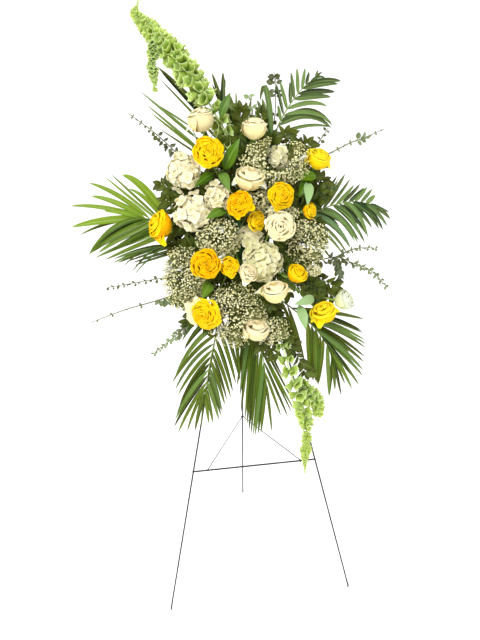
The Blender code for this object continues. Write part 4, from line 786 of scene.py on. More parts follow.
def leaf_look(name, dark, light, rib, second_tone_and_sheen, roughness=0.42, bloom=0.0):
    """A leaf: two tones, one half of the fold lighter as a painted highlight, a light midrib, fine veins, and
    a second tone on some leaves, which on palm leaflets is a painted sheen.
    """
    look = Look(name, roughness, 0.16, 0.10)
    look.sheet()
    colour = look.mix(look.ramp(look.pick, [(0.12, 0.0), (0.88, 1.0)]), dark, light)
    # Painted highlight: the half on one side of the midrib is lighter, like the lit side of a fold.
    half = look.ramp(look.math("MULTIPLY_ADD", look.across, 0.5, 0.5), [(0.46, 0.0), (0.54, 0.35)])
    colour = look.mix(half, colour, light)
    away = look.math("ABSOLUTE", look.across)
    colour = look.mix(look.ramp(away, [(0.03, 0.75), (0.16, 0.0)]), colour, rib)
    lines = look.streaks(2.0, 9.0, 2.5, 30.0)
    colour = look.mix(look.ramp(lines, [(0.42, 0.0), (0.70, 0.45)]), colour, dark)
    # Some leaves take the second tone. On palm leaflets it is a painted sheen; on other leaves it is their
    # own tone.
    colour = look.mix(look.shade, colour, second_tone_and_sheen)
    if bloom:
        patch = look.ramp(look.noise(45.0, 3.0), [(0.42, 0.0), (0.70, bloom)])
        colour = look.mix(patch, colour, (0.42, 0.50, 0.46))
    look.bump(lines, 0.30, 0.0008)
    return look.paint(colour)


def stem_look(name, dark, light):
    look = Look(name, 0.5, subsurface=0.05)
    look.sheet()
    streak = look.streaks(3.0, 3.0, 14.0, 20.0)
    look.bump(streak, 0.3, 0.0006)
    return look.paint(look.mix(look.ramp(streak, [(0.35, 0.0), (0.65, 1.0)]), dark, light))


def wire_look():
    """Dark grey paint on wire: slightly uneven, with small lighter rubs."""
    look = Look("easel_wire_paint", 0.38)
    look.shader.inputs["Metallic"].default_value = 0.55
    colour = look.ramp(look.noise(22.0, 5.0), [(0.35, (0.020, 0.024, 0.025)), (0.70, (0.055, 0.062, 0.062))])
    rubs = look.ramp(look.noise(160.0, 3.0), [(0.66, 0.0), (0.74, 0.6)])
    look.bump(look.noise(420.0, 2.0), 0.15, 0.0004)
    return look.paint(look.mix(rubs, colour, (0.14, 0.15, 0.15)))


def foam_look():
    """Wet floral foam: fine open cells, darker in places."""
    look = Look("foam_cells", 0.95)
    cells = look.new("ShaderNodeTexVoronoi")
    cells.inputs["Scale"].default_value = 900.0
    look.link(look.new("ShaderNodeTexCoord").outputs["Object"], cells.inputs["Vector"])
    look.bump(cells.outputs[0], 0.6, 0.0008)
    stops = [(0.35, (0.018, 0.070, 0.022)), (0.70, (0.055, 0.150, 0.050))]
    return look.paint(look.ramp(look.noise(35.0, 4.0), stops))


def cage_look():
    """Green moulded plastic with a faint grain."""
    look = Look("cage_plastic", 0.42)
    look.bump(look.noise(700.0, 2.0), 0.2, 0.0003)
    stops = [(0.3, (0.020, 0.075, 0.028)), (0.7, (0.036, 0.115, 0.045))]
    return look.paint(look.ramp(look.noise(18.0), stops))


def floor_look():
    look = Look("plain_floor", 0.85)
    tone = look.ramp(look.noise(1.3, 2.0), [(0.3, (0.93, 0.93, 0.93)), (0.7, (0.96, 0.96, 0.96))])
    look.link(tone, look.shader.inputs["Emission Color"])
    look.shader.inputs["Emission Strength"].default_value = 0.30
    return look.paint(tone)


def rose_petal(rim, gap, half, openness, turn, draw):
    """A petal in shares of the rose's radius: a wall up to its rim, which rolls outward and leaves a point in
    its middle. rim is its distance from the axis, gap that to the next row, half the angle to its edge."""
    t, s = shares(PETAL_ROWS, PETAL_COLS, 0.75)
    tight = 1 - openness
    top = 0.44 - 0.46 * rim ** 1.7 + tight * (0.58 - 0.16 * rim) + draw.uniform(-0.03, 0.03)
    foot = 0.05 + (0.12 + 0.40 * tight) * rim
    lip = max(0.8 * gap, (0.035 + 0.095 * rim) * (1 - 0.45 * tight)) * draw.uniform(0.85, 1.2)
    curl = math.radians(70 + 60 * rim * openness) * (0.80 + 0.35 * np.sin(np.abs(s) * math.pi))
    reach = t * (1 - 0.20 * np.abs(s) ** 2.6)
    up = np.clip(reach / 0.76, 0, 1)
    over = np.clip((reach - 0.76) / 0.24, 0, 1) * curl
    belly = 0.06 + 0.10 * tight * rim
    r = foot + (rim - foot) * np.sin(up * math.pi / 2) ** 0.9 + belly * np.sin(up * math.pi)
    h = -0.60 + (top + 0.60) * up ** 1.15
    r = r + lip * np.sin(over) * (1 + 0.60 * np.exp(-(s / 0.25) ** 2))
    h = h - lip * 1.15 * (1 - np.cos(over)) + 0.015 * np.sin(over)
    wave = math.tau * draw.random()
    r = r + 0.016 * (0.3 + rim) * np.sin(s * 5.4 + wave) * t ** 3
    h = h + 0.030 * (0.3 + rim) * np.sin(s * 4.3 + wave * 1.7) * t ** 3
    r = r * (1 + 0.10 * s)
    h = h + draw.uniform(-0.11, 0.11) * s * rim * up
    angle = turn + s * half * (0.45 + 0.55 * np.sin(np.clip(t * 1.3, 0, 1) * math.pi / 2))
    return around(r, angle, h)


def make_rose(index, name, looks):
    centre, radius, facing, home, right_share, up_share, openness, rows, swell = ROSES[name]
    centre = np.array(centre) / 1000
    radius = radius / 1000 * swell
    draw = random.Random(index)
    way = unit(unit(VIEW - centre) + RIGHT * right_share + OVER * up_share)
    place = axes_towards(way, draw.uniform(0, math.tau)) * radius
    heap = Heap()
    start = draw.uniform(0, math.tau)
    edge = np.linspace(1.0, 0.5, PETAL_ROWS)[:, None] * np.ones(PETAL_COLS)
    for row, (rim, count) in enumerate(rows):
        gap = rows[row + 1][0] - rim if row + 1 < len(rows) else 0.12
        for k in range(count):
            turn = start + row * 1.9 + math.tau * k / count + draw.uniform(-0.14, 0.14)
            half = math.pi / count * draw.uniform(1.15, 1.35)
            grid = rose_petal(rim * draw.uniform(0.94, 1.04), gap, half, openness, turn, draw)
            # Inner petals get a higher shade value and so more of the heart colour, partly as painted shade
            # deep in the bloom.
            heap.add_sheet(grid @ place.T + centre, 0.022 * radius * edge, draw.random(), (1 - rim) ** 2.0)
    for degrees, length, slot in GUARDS.get(name, []):
        turn = math.radians(degrees)
        way = RIGHT * math.cos(turn) + OVER * math.sin(turn)
        add_guard(heap, centre, radius, place, way, length, slot, draw)
    add_calyx(heap, centre, radius, place, draw)
    heap.to_piece(name + "_bloom", name, looks)


def add_guard(heap, centre, radius, place, way, length, slot, draw):
    """An outer petal that leaves the foot of the rose and spreads along way, its end curled back."""
    axis = unit(place[:, 2])
    way = unit(way - axis * (way @ axis) * 0.8)
    side = unit(np.cross(axis, way))
    t, s = shares(9, 7)
    foot = centre - axis * radius * 0.55
    out = radius * length * (0.10 + 0.90 * t) * (1 - 0.06 * s * s)
    rise = radius * (0.62 * np.sin(t * 2.3) + 0.10 * s * s * t - 0.12 * t ** 4 * (1 + np.abs(s)))
    wide = radius * 0.50 * bulge(t, 0.80, 0.14, 0.7) * s
    grid = foot + out[..., None] * way + rise[..., None] * axis + wide[..., None] * side
    heap.add_sheet(grid, 0.018 * radius, draw.random(), 0.0, slot)


def add_calyx(heap, centre, radius, place, draw):
    """The green cup under a rose, with five narrow sepals."""
    turn = np.arange(10) * math.tau / 10
    cup = ((0.10, -0.75), (0.17, -0.75), (0.20, -0.70), (0.21, -0.62), (0.17, -0.54), (0.12, -0.50))
    rings = np.array([around(r, turn, h) for r, h in cup])
    heap.add_sheet(rings @ place.T + centre, 0.02 * radius, draw.random(), 0.0, 1, closed=True)
    t, s = shares(6, 3)
    for k in range(5):
        r = 0.17 + 0.34 * t - 0.06 * np.abs(s) * (1 - t)
        grid = turned(r, s * 0.10 * (1 - t) ** 0.7, -0.64 + 0.10 * t + 0.16 * t * t,
                      math.tau * k / 5 + draw.uniform(-0.1, 0.1))
        heap.add_sheet(grid @ place.T + centre, 0.02 * radius, draw.random(), 0.0, 1)


def make_hydrangea(index, name, looks):
    draw = random.Random(100 + index)
    heap = Heap()
    inside, mouth, outward = socket_points(name)
    green, lobes = HYDRANGEAS[name]
    for lobe, (centre, radius, facing) in enumerate(lobes):
        centre, radius, turn = np.array(centre) / 1000, radius / 1000, axes_towards(facing)
        if lobe == 0:
            way = unit(np.array(facing))
            foot = centre - way * radius * 0.3
            span = np.linalg.norm(foot - mouth)
            stem = bezier(mouth, mouth + outward * span * 0.3, foot - way * span * 0.3, foot, 8)
            heap.add_rod(np.concatenate([inside[None], stem]), [STEM] * 10, 8, 0.5, 1)
        count = round(FLORETS * radius * radius)
        for k in range(count):
            height = 1 - 1.25 * (k + 0.5) / count
            angle = k * GOLDEN
            flat = math.sqrt(max(0.0, 1 - height * height))
            normal = turn @ np.array([flat * math.cos(angle), flat * math.sin(angle), height])
            dome = np.array([flat * math.cos(angle), flat * math.sin(angle), height * 0.80])
            spot = centre + turn @ dome * (radius - 0.006)
            spot = spot + normal * (0.006 * math.sin(5 * angle + 3 * height) - draw.uniform(0.0, 0.008))
            lean = jitter(draw, 0.22)
            root = centre - turn[:, 2] * radius * 0.25
            fork = root + (spot - root) * 0.45 + jitter(draw, 0.003)
            heap.add_rod([root, fork, spot], FLORET_STALK, 4, draw.random(), 1)
            add_floret(heap, spot, unit(normal + lean), draw.uniform(*FLORET_SIZE), draw, green)
    heap.to_piece(name + "_head", name, looks)


def add_floret(heap, spot, normal, radius, draw, green):
    """Four rounded, slightly cupped petals round a bead."""
    turn = axes_towards(normal, draw.uniform(0, math.tau))
    t, s = shares(5, 4)
    tint = min(1.0, max(0.0, draw.gauss(green, 0.15)))
    for k in range(4):
        x = radius * (0.04 + 0.96 * t * (1 - 0.10 * s * s))
        y = radius * s * (0.56 * bulge(t, 0.82, 0.10, 0.6))
        rise = draw.uniform(0.10, 0.30)
        z = radius * (rise * t * t - 0.10 * t + 0.10 * s * s * t + 0.05 * np.sin(3 * s + k) * t
                      + 0.03 * (k % 2))
        heap.add_sheet(turned(x, y, z, math.tau * k / 4) @ turn.T + spot, FLORET_THICK, draw.random(), tint)
    bead, size = spot + turn[:, 2] * radius * 0.05, 0.0011
    heap.add_rod([bead - [0, 0, size], bead, bead + [0, 0, size]], [size * 0.6, size, size * 0.6], 5,
                 draw.random(), 1)


# Every rose and hydrangea head: centre, radius, and how wide the space before it stays clear, in radii
HEADS = [(np.array(rose[0]) / 1000, rose[1] / 1000, 0.85) for rose in ROSES.values()]
HEADS += [(np.array(lobe[0]) / 1000, lobe[1] / 1000 * 0.88, 1.1) for green, lobes in HYDRANGEAS.values()
          for lobe in lobes]


def is_free(spot, share=0.92):
    """Whether a spot lies outside every rose and hydrangea head, and does not stand in front of one."""
    for centre, radius, clear in HEADS:
        aside = spot - centre
        apart = np.linalg.norm(aside)
        if apart < radius * share:
            return False
        if apart < HIDING:
            ahead = aside @ unit(VIEW - centre)
            lateral = math.sqrt(max(0.0, apart * apart - ahead * ahead))
            if ahead > 0 and lateral < radius * share * 0.85:
                return False
            if ahead > radius and lateral < radius * clear:
                return False
    return True


def bloom_shape():
    """Points and faces of a tiny double bloom of unit radius: a ring of four petals and another on top."""
    points, quads = [], []
    for reach, rise, turn in ((1.0, 0.0, 0.0), (0.66, 0.45, 0.6)):
        base = len(points)
        for k in range(8):
            angle = math.tau * k / 8 + turn
            far = reach * (0.62 if k % 2 else 1.0)
            points.append((far * math.cos(angle), far * math.sin(angle), rise + (0.0 if k % 2 else 0.22)))
        points += [(0.0, 0.0, rise + 0.30), (0.0, 0.0, rise - 0.35)]
        for k in range(1, 8, 2):
            ring = [base + k, base + (k + 1) % 8, base + (k + 2) % 8]
            quads += [[base + 8] + ring, [base + 9] + ring[::-1]]
    return np.array(points), np.array(quads)


def make_gypsophila(index, name, looks):
    """Clouds of tiny blooms, each on its own stalk from a forked stem."""
    draw = random.Random(500 + index)
    inside, mouth, outward = socket_points(name)
    heap = Heap()
    shape, faces = bloom_shape()
    radial = 0.45 + 0.5 * np.linalg.norm(shape, axis=1)
    heap.add_rod([inside, mouth, mouth + outward * 0.006], [SPRIG] * 3, 6, 0.5, 1)
    fullness, clouds = GYPSOPHILA[name]
    for centre, half in clouds:
        centre, half = np.array(centre) / 1000, np.array(half) / 1000
        knot = centre + half * np.array([0, 0, -1.1])
        span = np.linalg.norm(knot - mouth)
        branch = bezier(mouth, mouth + outward * span * 0.3, knot - unit(knot - mouth) * span * 0.3, knot, 8)
        heap.add_rod(branch, np.linspace(SPRIG, SPRIG * 0.6, 9), 5, draw.random(), 1)
        forks = []
        for k in range(round(FORKS[0] + FORKS[1] * (half[0] * half[1] * half[2]))):
            way = unit(jitter(draw, 1))
            fork = centre + way * half * draw.uniform(0.2, 0.62) + np.array([0, 0, -0.25]) * half
            if is_free(fork, 0.8):
                begin = branch[-1 - k % 4]
                bend = (begin + fork) / 2 + jitter(draw, 0.004)
                heap.add_rod([begin, bend, fork], CLOUD_FORK, 4, draw.random(), 1)
                forks.append(fork)
        forks = np.array(forks if forks else [knot])
        for k in range(round((BLOOMS[0] + BLOOMS[1] * half[0] * half[1]) * fullness)):
            way = unit(jitter(draw, 1))
            way[2] = abs(way[2]) * 1.1 - 0.35
            spot = centre + unit(way) * half * draw.uniform(0.20, 1.22) ** 0.5
            if not is_free(spot):
                continue
            near = nearest(forks, spot)
            if not is_free((near + spot) / 2, 0.60):
                continue
            normal = unit(spot - near + np.array([0, 0, 0.010]) + jitter(draw, 0.003))
            size = draw.uniform(*BLOOM_SIZE)
            turn = axes_towards(normal, draw.uniform(0, math.tau))
            heap.add_rod([near, spot], BLOOM_STALK, 3, draw.random(), 1)
            heap.add(shape * size @ turn.T + spot, faces, radial, radial, draw.random(), draw.random() * 0.6)
    heap.to_piece(name + "_cloud", name, looks)


def add_bell(heap, root, outward, radius, length, draw, shade):
    """An open bell with a flared mouth of five points, and the small flower inside it."""
    turn = axes_towards(outward, draw.uniform(0, math.tau))
    angle = np.arange(CUP_SIDES) * math.tau / CUP_SIDES
    flat = draw.uniform(0.60, 0.95)
    rings = []
    for share, reach in ((0.0, 0.12), (0.22, 0.54), (0.55, 0.83), (0.88, 1.02), (1.0, 1.26)):
        wave = 1 + 0.13 * share ** 3 * np.cos(5 * angle)
        rise = length * share * (1 + 0.09 * share ** 3 * np.cos(5 * angle))
        rings.append(around(radius * reach * wave, angle, rise) * [1, flat, 1])
    heap.add_sheet(np.array(rings) @ turn.T + root, BELL_THICK, draw.random(), shade, 0, closed=True)
    heart = root + outward * length * 0.40
    for k in range(2):
        way = unit(outward + turn @ np.array([math.cos(3.0 * k), math.sin(3.0 * k), 0]) * 0.5)
        heap.add_rod([root, heart, heart + way * radius * 0.30], [0.0006, radius * 0.10, radius * 0.12], 4,
                     draw.random(), 1)


def make_bells(index, name, looks):
    """Stems with whorls of open bells that point outward and ahead."""
    draw = random.Random(200 + index)
    heap = Heap()
    for branch, stops in enumerate(BELLS[name]):
        marks = spots("photo", [stop[:3] for stop in stops])
        route = smooth_route(marks, 6) if branch else stem_route(name, marks, 6)
        stem_radius = THIN_BELL_STEM if branch else STEM
        heap.add_rod(route, np.linspace(stem_radius, stem_radius * 0.35, len(route)), 8, 0.5, 2)
        points, ahead, total = evenly(route, 500)
        last = len(points) - 1
        marked = [int(np.argmin(np.linalg.norm(points - mark, axis=1))) for mark in marks]
        at, whorl = marked[0], 0
        while at < last:
            reach = np.interp(at, marked, [stop[3] / 1000 for stop in stops])
            gap = np.interp(at, marked, [stop[4] / 1000 for stop in stops])
            k = int(at)
            turn = axes_towards(ahead[k])
            sparse = gap > 0.9 * reach
            cups, swell, twist, low, high = (4, 1.30, 0.30, 0.0, 0.6) if sparse else (6, 1.0, 0.52, 0.4, 1.2)
            for i in range(cups):
                angle = whorl * twist + math.tau * i / cups + draw.uniform(-0.25, 0.25)
                outward = unit(turn @ np.array([math.cos(angle), math.sin(angle), draw.uniform(low, high)]))
                add_bell(heap, points[k] + outward * 0.001, outward, swell * reach * draw.uniform(0.34, 0.44),
                         reach * draw.uniform(0.92, 1.12), draw, (at / last) ** 2.0)
            at += gap / total * last
            whorl += 1
    heap.to_piece(name + "_spike", name, looks)


def blade_grid(base, tip, width, arch, tilt, rows=11):
    """A folded narrow leaflet from base to tip that arches against its weight; tilt turns its face."""
    span = tip - base
    t = np.linspace(0, 1, rows)[:, None]
    crest = base + span * 0.55 - DOWN * np.linalg.norm(span) * arch
    spine = base * (1 - t) ** 2 + 2 * crest * t * (1 - t) + tip * t * t
    ahead = unit(np.gradient(spine, axis=0))
    across = unit(np.cross(ahead, [0.0, math.sin(tilt), math.cos(tilt)]))
    lift = np.cross(across, ahead)
    wide = width / 2 * np.maximum(np.sin(t ** 0.70 * math.pi) ** 0.55, 0.04)
    places = (-1.0, -0.5, 0.0, 0.5, 1.0)
    return np.stack([spine + across * s * wide + lift * abs(s) ** 1.2 * wide * 0.45 for s in places], 1)


def make_frond(index, name, looks):
    """A palm frond whose leaflets leave the rib in combs."""
    draw = random.Random(300 + index)
    heap = Heap()
    kind, stops, combs = PALM[name]
    route = stem_route(name, spots(kind, stops), 8)
    heap.add_rod(route, np.linspace(STEM, RIB_TIP, len(route)), 6, 0.5, 1)
    points = evenly(route, 400)[0]
    for begin, end, width, arch, tips in combs:
        for k, (x, y) in enumerate(tips):
            base = points[int((begin + (end - begin) * (k + 0.5) / len(tips)) * (len(points) - 1))]
            tip = at_pixel(x, y, base[2] - draw.uniform(-0.006, 0.034))
            grid = blade_grid(base, tip, width / 1000 * draw.uniform(0.85, 1.1),
                              arch * draw.uniform(0.8, 1.25), draw.uniform(-0.5, 0.3))
            # About one leaflet in seven takes the look's second tone, a painted sheen.
            heap.add_sheet(grid, LEAFLET_THICK, draw.random(), 0.5 if draw.random() < 0.14 else 0.0)
    heap.to_piece(name + "_leaf", name, looks)


def leaf_grid(base, tip, width, face, bend=0.12, fold=0.22, wave=0.0, rows=8,
              places=(-1.0, -0.6, -0.15, 0.15, 0.6, 1.0)):
    """An oval leaf from base to tip, folded along its midrib and bent back at its tip."""
    span = tip - base
    side = unit(np.cross(span, face))
    lift = np.cross(side, unit(span))
    t = np.linspace(0, 1, rows)[:, None]
    spine = base + span * t + lift * np.linalg.norm(span) * bend * (np.sin(t * math.pi) - 0.6 * t * t)
    wide = width / 2 * np.maximum(np.sin(t ** 0.8 * math.pi) ** 0.8, 0.03)
    columns = []
    for s in places:
        edge = wave * width * math.copysign(1, s) * np.sin(t * 9 + s)
        columns.append(spine + side * s * wide + lift * (abs(s) * fold * wide + abs(s) ** 2 * edge))
    return np.stack(columns, 1)


def make_eucalyptus(index, name, looks):
    """Twigs with pairs of small oval leaves."""
    draw = random.Random(400 + index)
    heap = Heap()
    for fork, kind, stops, runs in EUCALYPTUS[name]:
        if fork is None:
            route = main = stem_route(name, spots(kind, stops), 6)
        else:
            route = smooth_route([nearest(main, np.array(fork) / 1000)] + spots(kind, stops), 6)
        heap.add_rod(route, np.linspace(TWIG, TWIG * 0.35, len(route)), 6, 0.5, 1)
        points, ahead, total = evenly(route, 200)
        for size, pairs, begin, end, droop, tone in runs:
            for k in range(pairs):
                i = int((begin + (end - begin) * (k + 0.5) / pairs) * (len(points) - 1))
                turn = axes_towards(ahead[i])
                angle = k * 1.57 + draw.uniform(-0.4, 0.4)
                for way in (1, -1):
                    outward = turn @ np.array([math.cos(angle), math.sin(angle), 0]) * way
                    long = size / 1000 * (1.12 - 0.35 * k / pairs) * draw.uniform(0.85, 1.1)
                    tip = points[i] + unit(outward * 0.85 + ahead[i] * 0.5 + DOWN * (0.1 + droop)) * long
                    foot = points[i] + (tip - points[i]) * 0.14
                    heap.add_rod([points[i], foot], LEAF_STALK, 4, draw.random(), 1)
                    face = facing_out(draw, 0.5)
                    grid = leaf_grid(foot, tip, long * draw.uniform(0.50, 0.70), face)
                    heap.add_sheet(grid, LEAFLET_THICK, draw.random(),
                                   min(1.0, max(0.0, tone + draw.uniform(-0.15, 0.15))))
    heap.to_piece(name + "_twig", name, looks)


def make_rose_stems(index, bundle, looks):
    """A bundle of rose stems that part outside the foam, with their broad leaves."""
    draw = random.Random(600 + index)
    name = "rose_stems_" + bundle
    inside, mouth, outward = socket_points(name)
    knot = mouth + outward * 0.006
    heap = Heap()
    heap.add_rod([inside, mouth, knot], [BUNDLE, BUNDLE, BUNDLE * 0.8], 12, 0.5)
    joints = []
    for rose in ROSES.values():
        centre, radius, facing, home = rose[:4]
        if home != bundle:
            continue
        radius = radius / 1000
        facing = unit(np.array(facing))
        seat = np.array(centre) / 1000 - facing * 0.74 * radius
        aside = seat - knot
        start = knot - outward * 0.004 + unit(aside - outward * (aside @ outward)) * BUNDLE * 0.5
        span = np.linalg.norm(seat - start)
        route = bezier(start, start + outward * span * 0.3, seat - facing * (NECK + span * 0.25),
                       seat - facing * NECK, 10)
        route = np.concatenate([route, [seat - facing * 0.004, seat]])
        heap.add_rod(route, [ROSE_STEM] * 11 + [0.17 * radius, 0.18 * radius], 8, draw.random())
        joints.append(route[2:9])
    joints = np.concatenate(joints)
    for home, base, tip, width, tone in BROAD_LEAVES:
        if home == bundle:
            base, tip = spots("photo", (base, tip))
            near = nearest(joints, base)
            heap.add_rod([near, (near + base) / 2 + outward * 0.003, base], BROAD_STALK, 5, draw.random())
            grid = leaf_grid(base, tip, width / 1000, np.array([0, 0.3, 1.0]), 0.10, 0.25, 0.03, 10)
            heap.add_sheet(grid, BROAD_THICK, draw.random(), tone, 1)
    heap.to_piece(name + "_green", name, looks)


def make_greens(index, name, looks):
    """Sprays of oval leaves on arching stems that stand in the foam."""
    draw = random.Random(700 + index)
    heap = Heap()
    for face, a, b, kind, stop in GREENS[name]:
        mouth, outward = (np.array(v) for v in on_face(face, a, b))
        tip = spots(kind, [stop])[0]
        span = np.linalg.norm(tip - mouth)
        route = bezier(mouth - outward * STEM_DEPTH * 0.5, mouth + outward * span * 0.35,
                       tip - unit(tip - mouth) * span * 0.35, tip, 12)
        heap.add_rod(route, np.linspace(FILLER_STEM, FILLER_TIP, 13), 6, draw.random())
        points, ahead, total = evenly(route, 100)
        leaves = round(7 + span * 80)
        for k in range(leaves):
            i = int((0.28 + 0.72 * (k + 0.5) / leaves) * (len(points) - 1))
            side = unit(np.cross(ahead[i], [0, 0, 1.0])) * (1 if k % 2 else -1)
            way = unit(side * draw.uniform(0.7, 1.0) + ahead[i] * draw.uniform(0.5, 0.9)
                       + np.array([0, 0, draw.uniform(-0.25, 0.35)]))
            long = draw.uniform(*FILLER_LEAF)
            end = points[i] + way * long
            if not is_free(end, 0.95) or not is_free((points[i] + end) / 2, 0.95):
                continue
            face_way = facing_out(draw, 0.35)
            grid = leaf_grid(points[i], end, long * draw.uniform(0.42, 0.56), face_way, 0.10, rows=7,
                             places=(-1.0, 0.0, 1.0))
            heap.add_sheet(grid, FILLER_THICK, draw.random(), max(0.0, draw.gauss(0.0, 0.12)), 1)
        grid = leaf_grid(points[-3], tip + ahead[-1] * 0.020, 0.014, np.array([0, 0, 1.0]))
        heap.add_sheet(grid, FILLER_THICK, draw.random(), 0.0, 1)
    heap.to_piece(name, None, looks)


def make_floor():
    """A plain pale floor that curves up behind the easel."""
    half, front, back, bend, high = 6.0, -4.0, 3.5, 1.5, 5.0
    line = [(front, 0.0), (back, 0.0)]
    for k in range(1, 13):
        turn = math.pi / 2 * k / 12
        line.append((back + bend * math.sin(turn), bend * (1 - math.cos(turn))))
    line.append((back + bend, high))
    points = [(x, y, z) for x in (-half, half) for y, z in line]
    count = len(line)
    faces = [(i, i + 1, count + i + 1, count + i) for i in range(count - 1)]
    mesh = bpy.data.meshes.new("floor")
    mesh.from_pydata(points, [], faces)
    mesh.materials.append(floor_look())
    mesh.polygons.foreach_set("use_smooth", [True] * len(faces))
    floor = bpy.data.objects.new("floor", mesh)
    bpy.context.scene.collection.objects.link(floor)


def make_light(name, place, target, size, power):
    lamp = bpy.data.lights.new(name, "AREA")
    lamp.shape = "DISK"
    lamp.size = size
    lamp.energy = power
    made = bpy.data.objects.new(name, lamp)
    made.location = place
    made.rotation_euler = (Vector(target) - Vector(place)).to_track_quat("-Z", "Y").to_euler()
    bpy.context.scene.collection.objects.link(made)


def make_camera():
    across, over, ahead = camera_axes()
    lens = bpy.data.cameras.new("camera")
    lens.sensor_width = 36.0
    lens.lens = lens.sensor_width * FOCAL / PHOTO_HEIGHT
    made = bpy.data.objects.new("camera", lens)
    turn = Matrix((across, over, -ahead)).transposed().to_4x4()
    made.matrix_world = Matrix.Translation(EYE) @ turn
    bpy.context.scene.collection.objects.link(made)
    bpy.context.scene.camera = made


# Each piece's looks, in the order of the slot numbers that its shapes name
calyx_look = leaf_look("rose_calyx_look", (0.10, 0.22, 0.03), (0.22, 0.38, 0.07), (0.30, 0.44, 0.12),
                       (0.3, 0.4, 0.15))
cream_look = petal_look("cream_petal_look", (0.90, 0.72, 0.30), (0.94, 0.81, 0.42), (0.97, 0.89, 0.57),
                        (0.96, 0.70, 0.34), (0.97, 0.80, 0.50))
yellow_look = petal_look("yellow_petal_look", (0.95, 0.40, 0.0), (1.0, 0.56, 0.0), (1.0, 0.74, 0.005),
                         (1.0, 0.42, 0.0), (1.0, 0.80, 0.02), gloss=0.07)
light_yellow_look = petal_look("light_yellow_petal_look", (1.0, 0.56, 0.0), (1.0, 0.69, 0.005),
                               (1.0, 0.80, 0.018), (1.0, 0.44, 0.0), (1.0, 0.82, 0.03),
                               stops=(0.25, 0.60, 0.92), gloss=0.07)
deep_yellow_look = petal_look("deep_yellow_petal_look", (0.90, 0.32, 0.0), (0.98, 0.46, 0.0),
                              (1.0, 0.60, 0.0), (0.98, 0.36, 0.0), (1.0, 0.66, 0.01), gloss=0.05)
pale_look = petal_look("pale_petal_look", (0.74, 0.78, 0.40), (0.86, 0.88, 0.60), (0.94, 0.94, 0.76),
                       (0.84, 0.86, 0.50), (0.92, 0.93, 0.68))
yellow_looks = [yellow_look, calyx_look, cream_look]
light_yellow_looks = [light_yellow_look, calyx_look, cream_look]
deep_yellow_looks = [deep_yellow_look, calyx_look, cream_look]
cream_looks = [cream_look, calyx_look, pale_look]
pale_looks = [pale_look, calyx_look, pale_look]
hydrangea_looks = [
    petal_look("hydrangea_petal_look", (0.80, 0.74, 0.34), (0.95, 0.85, 0.50), (0.98, 0.91, 0.64),
               (0.68, 0.76, 0.32), (0.97, 0.82, 0.54), veins=0.06, stops=(0.05, 0.40, 0.90)),
    stem_look("flower_stem_look", (0.20, 0.30, 0.08), (0.40, 0.50, 0.20)),
]
gypsophila_looks = [
    petal_look("gypsophila_petal_look", (0.50, 0.50, 0.10), (0.86, 0.80, 0.34), (0.97, 0.91, 0.55),
               (0.50, 0.56, 0.12), (0.97, 0.86, 0.44), veins=0.03, stops=(0.10, 0.45, 0.85)),
    stem_look("gypsophila_stem_look", (0.10, 0.11, 0.02), (0.26, 0.28, 0.08)),
]
# The bells' dark foot colour is partly painted shade deep inside each cup.
bell_looks = [
    petal_look("bell_look", (0.10, 0.20, 0.01), (0.38, 0.54, 0.12), (0.76, 0.88, 0.44),
               (0.66, 0.84, 0.12), (0.46, 0.60, 0.24), veins=0.14, stops=(0.35, 0.74, 0.97)),
    stem_look("bell_flower_look", (0.18, 0.28, 0.05), (0.45, 0.58, 0.20)),
    stem_look("bell_stem_look", (0.50, 0.60, 0.24), (0.76, 0.82, 0.48)),
]
rib_look = stem_look("palm_rib_look", (0.10, 0.16, 0.02), (0.24, 0.32, 0.06))
# The fourth colour of this and the two palm looks below is a painted sheen that some leaflets take.
palm_looks = [
    leaf_look("palm_leaf_look", (0.006, 0.016, 0.001), (0.112, 0.195, 0.013), (0.16, 0.24, 0.04),
              (0.12, 0.22, 0.06), 0.36),
    rib_look,
]
warm_palm_looks = [
    leaf_look("warm_palm_look", (0.040, 0.085, 0.003), (0.172, 0.290, 0.020), (0.24, 0.36, 0.06),
              (0.16, 0.30, 0.09), 0.36),
    rib_look,
]
cool_palm_looks = [
    leaf_look("cool_palm_look", (0.012, 0.032, 0.009), (0.138, 0.232, 0.062), (0.18, 0.28, 0.10),
              (0.15, 0.27, 0.12), 0.36),
    rib_look,
]
eucalyptus_looks = [
    leaf_look("eucalyptus_leaf_look", (0.030, 0.040, 0.008), (0.075, 0.100, 0.024), (0.14, 0.18, 0.08),
              (0.26, 0.36, 0.17), 0.50, 0.18),
    stem_look("eucalyptus_twig_look", (0.08, 0.08, 0.03), (0.20, 0.20, 0.09)),
]
green_looks = [
    stem_look("rose_stem_look", (0.10, 0.20, 0.02), (0.30, 0.42, 0.09)),
    leaf_look("broad_leaf_look", (0.030, 0.090, 0.002), (0.100, 0.205, 0.005), (0.20, 0.34, 0.05),
              (0.32, 0.48, 0.22), 0.40),
]
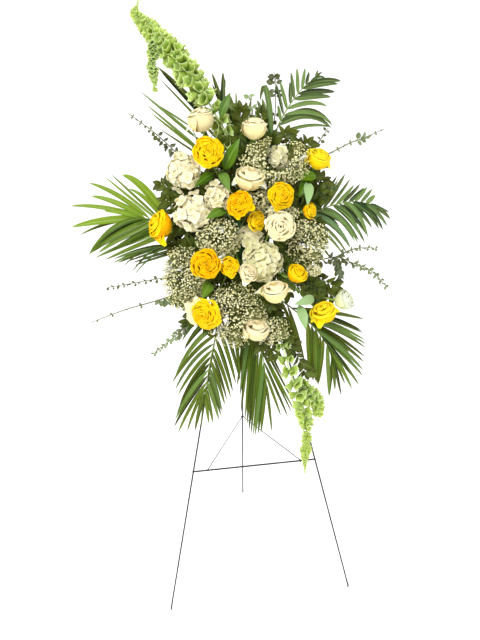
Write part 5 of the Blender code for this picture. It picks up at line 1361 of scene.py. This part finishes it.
filler_looks = [
    stem_look("filler_stem_look", (0.05, 0.08, 0.01), (0.14, 0.18, 0.04)),
    leaf_look("filler_leaf_look", (0.020, 0.034, 0.002), (0.070, 0.100, 0.006), (0.12, 0.17, 0.03),
              (0.13, 0.20, 0.05), 0.45),
]

# The CAD nodes that show as they are
wire, foam, cage = wire_look(), foam_look(), cage_look()
for part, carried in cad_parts.items():
    for family, look in (("leg_", wire), ("crossbar_", wire), ("hinge_pin", wire), ("back_leg", wire),
                         ("brace_", wire), ("foam_block", foam), ("foam_cage", cage)):
        if part.startswith(family):
            carried.data.materials.clear()
            carried.data.materials.append(look)

# Roses and fronds of a tone of their own
own_looks = {
    "rose_yellow_2": light_yellow_looks, "rose_yellow_12": light_yellow_looks,
    "rose_yellow_4": deep_yellow_looks, "rose_yellow_8": deep_yellow_looks, "rose_cream_7": pale_looks,
    "frond_1": cool_palm_looks, "frond_4": warm_palm_looks, "frond_6": cool_palm_looks,
}
for order, rose_name in enumerate(ROSES):
    usual = yellow_looks if "yellow" in rose_name else cream_looks
    make_rose(order, rose_name, own_looks.get(rose_name, usual))
for make, table, usual in (
        (make_hydrangea, HYDRANGEAS, hydrangea_looks),
        (make_rose_stems, ("upper_left", "upper_right", "lower_left", "lower_right"), green_looks),
        (make_bells, BELLS, bell_looks),
        (make_frond, PALM, palm_looks),
        (make_eucalyptus, EUCALYPTUS, eucalyptus_looks),
        (make_gypsophila, GYPSOPHILA, gypsophila_looks),
        (make_greens, GREENS, filler_looks)):
    for order, piece_name in enumerate(table):
        make(order, piece_name, own_looks.get(piece_name, usual))

make_floor()
make_light("key", (-1.4, -2.2, 3.4), (0.0, -0.1, 1.0), 1.0, 110)
make_light("fill", (2.4, -2.0, 2.2), (0.0, -0.1, 1.0), 2.2, 28)
make_light("back", (0.5, 2.4, 3.2), (0.0, 0.0, 1.0), 2.2, 30)
make_camera()
world = bpy.data.worlds.new("studio")
bpy.context.scene.world = world
world.use_nodes = True
world.node_tree.nodes["Background"].inputs[0].default_value = (1.0, 1.0, 1.0, 1.0)
world.node_tree.nodes["Background"].inputs[1].default_value = 0.64
bpy.context.scene.view_settings.view_transform = "Standard"
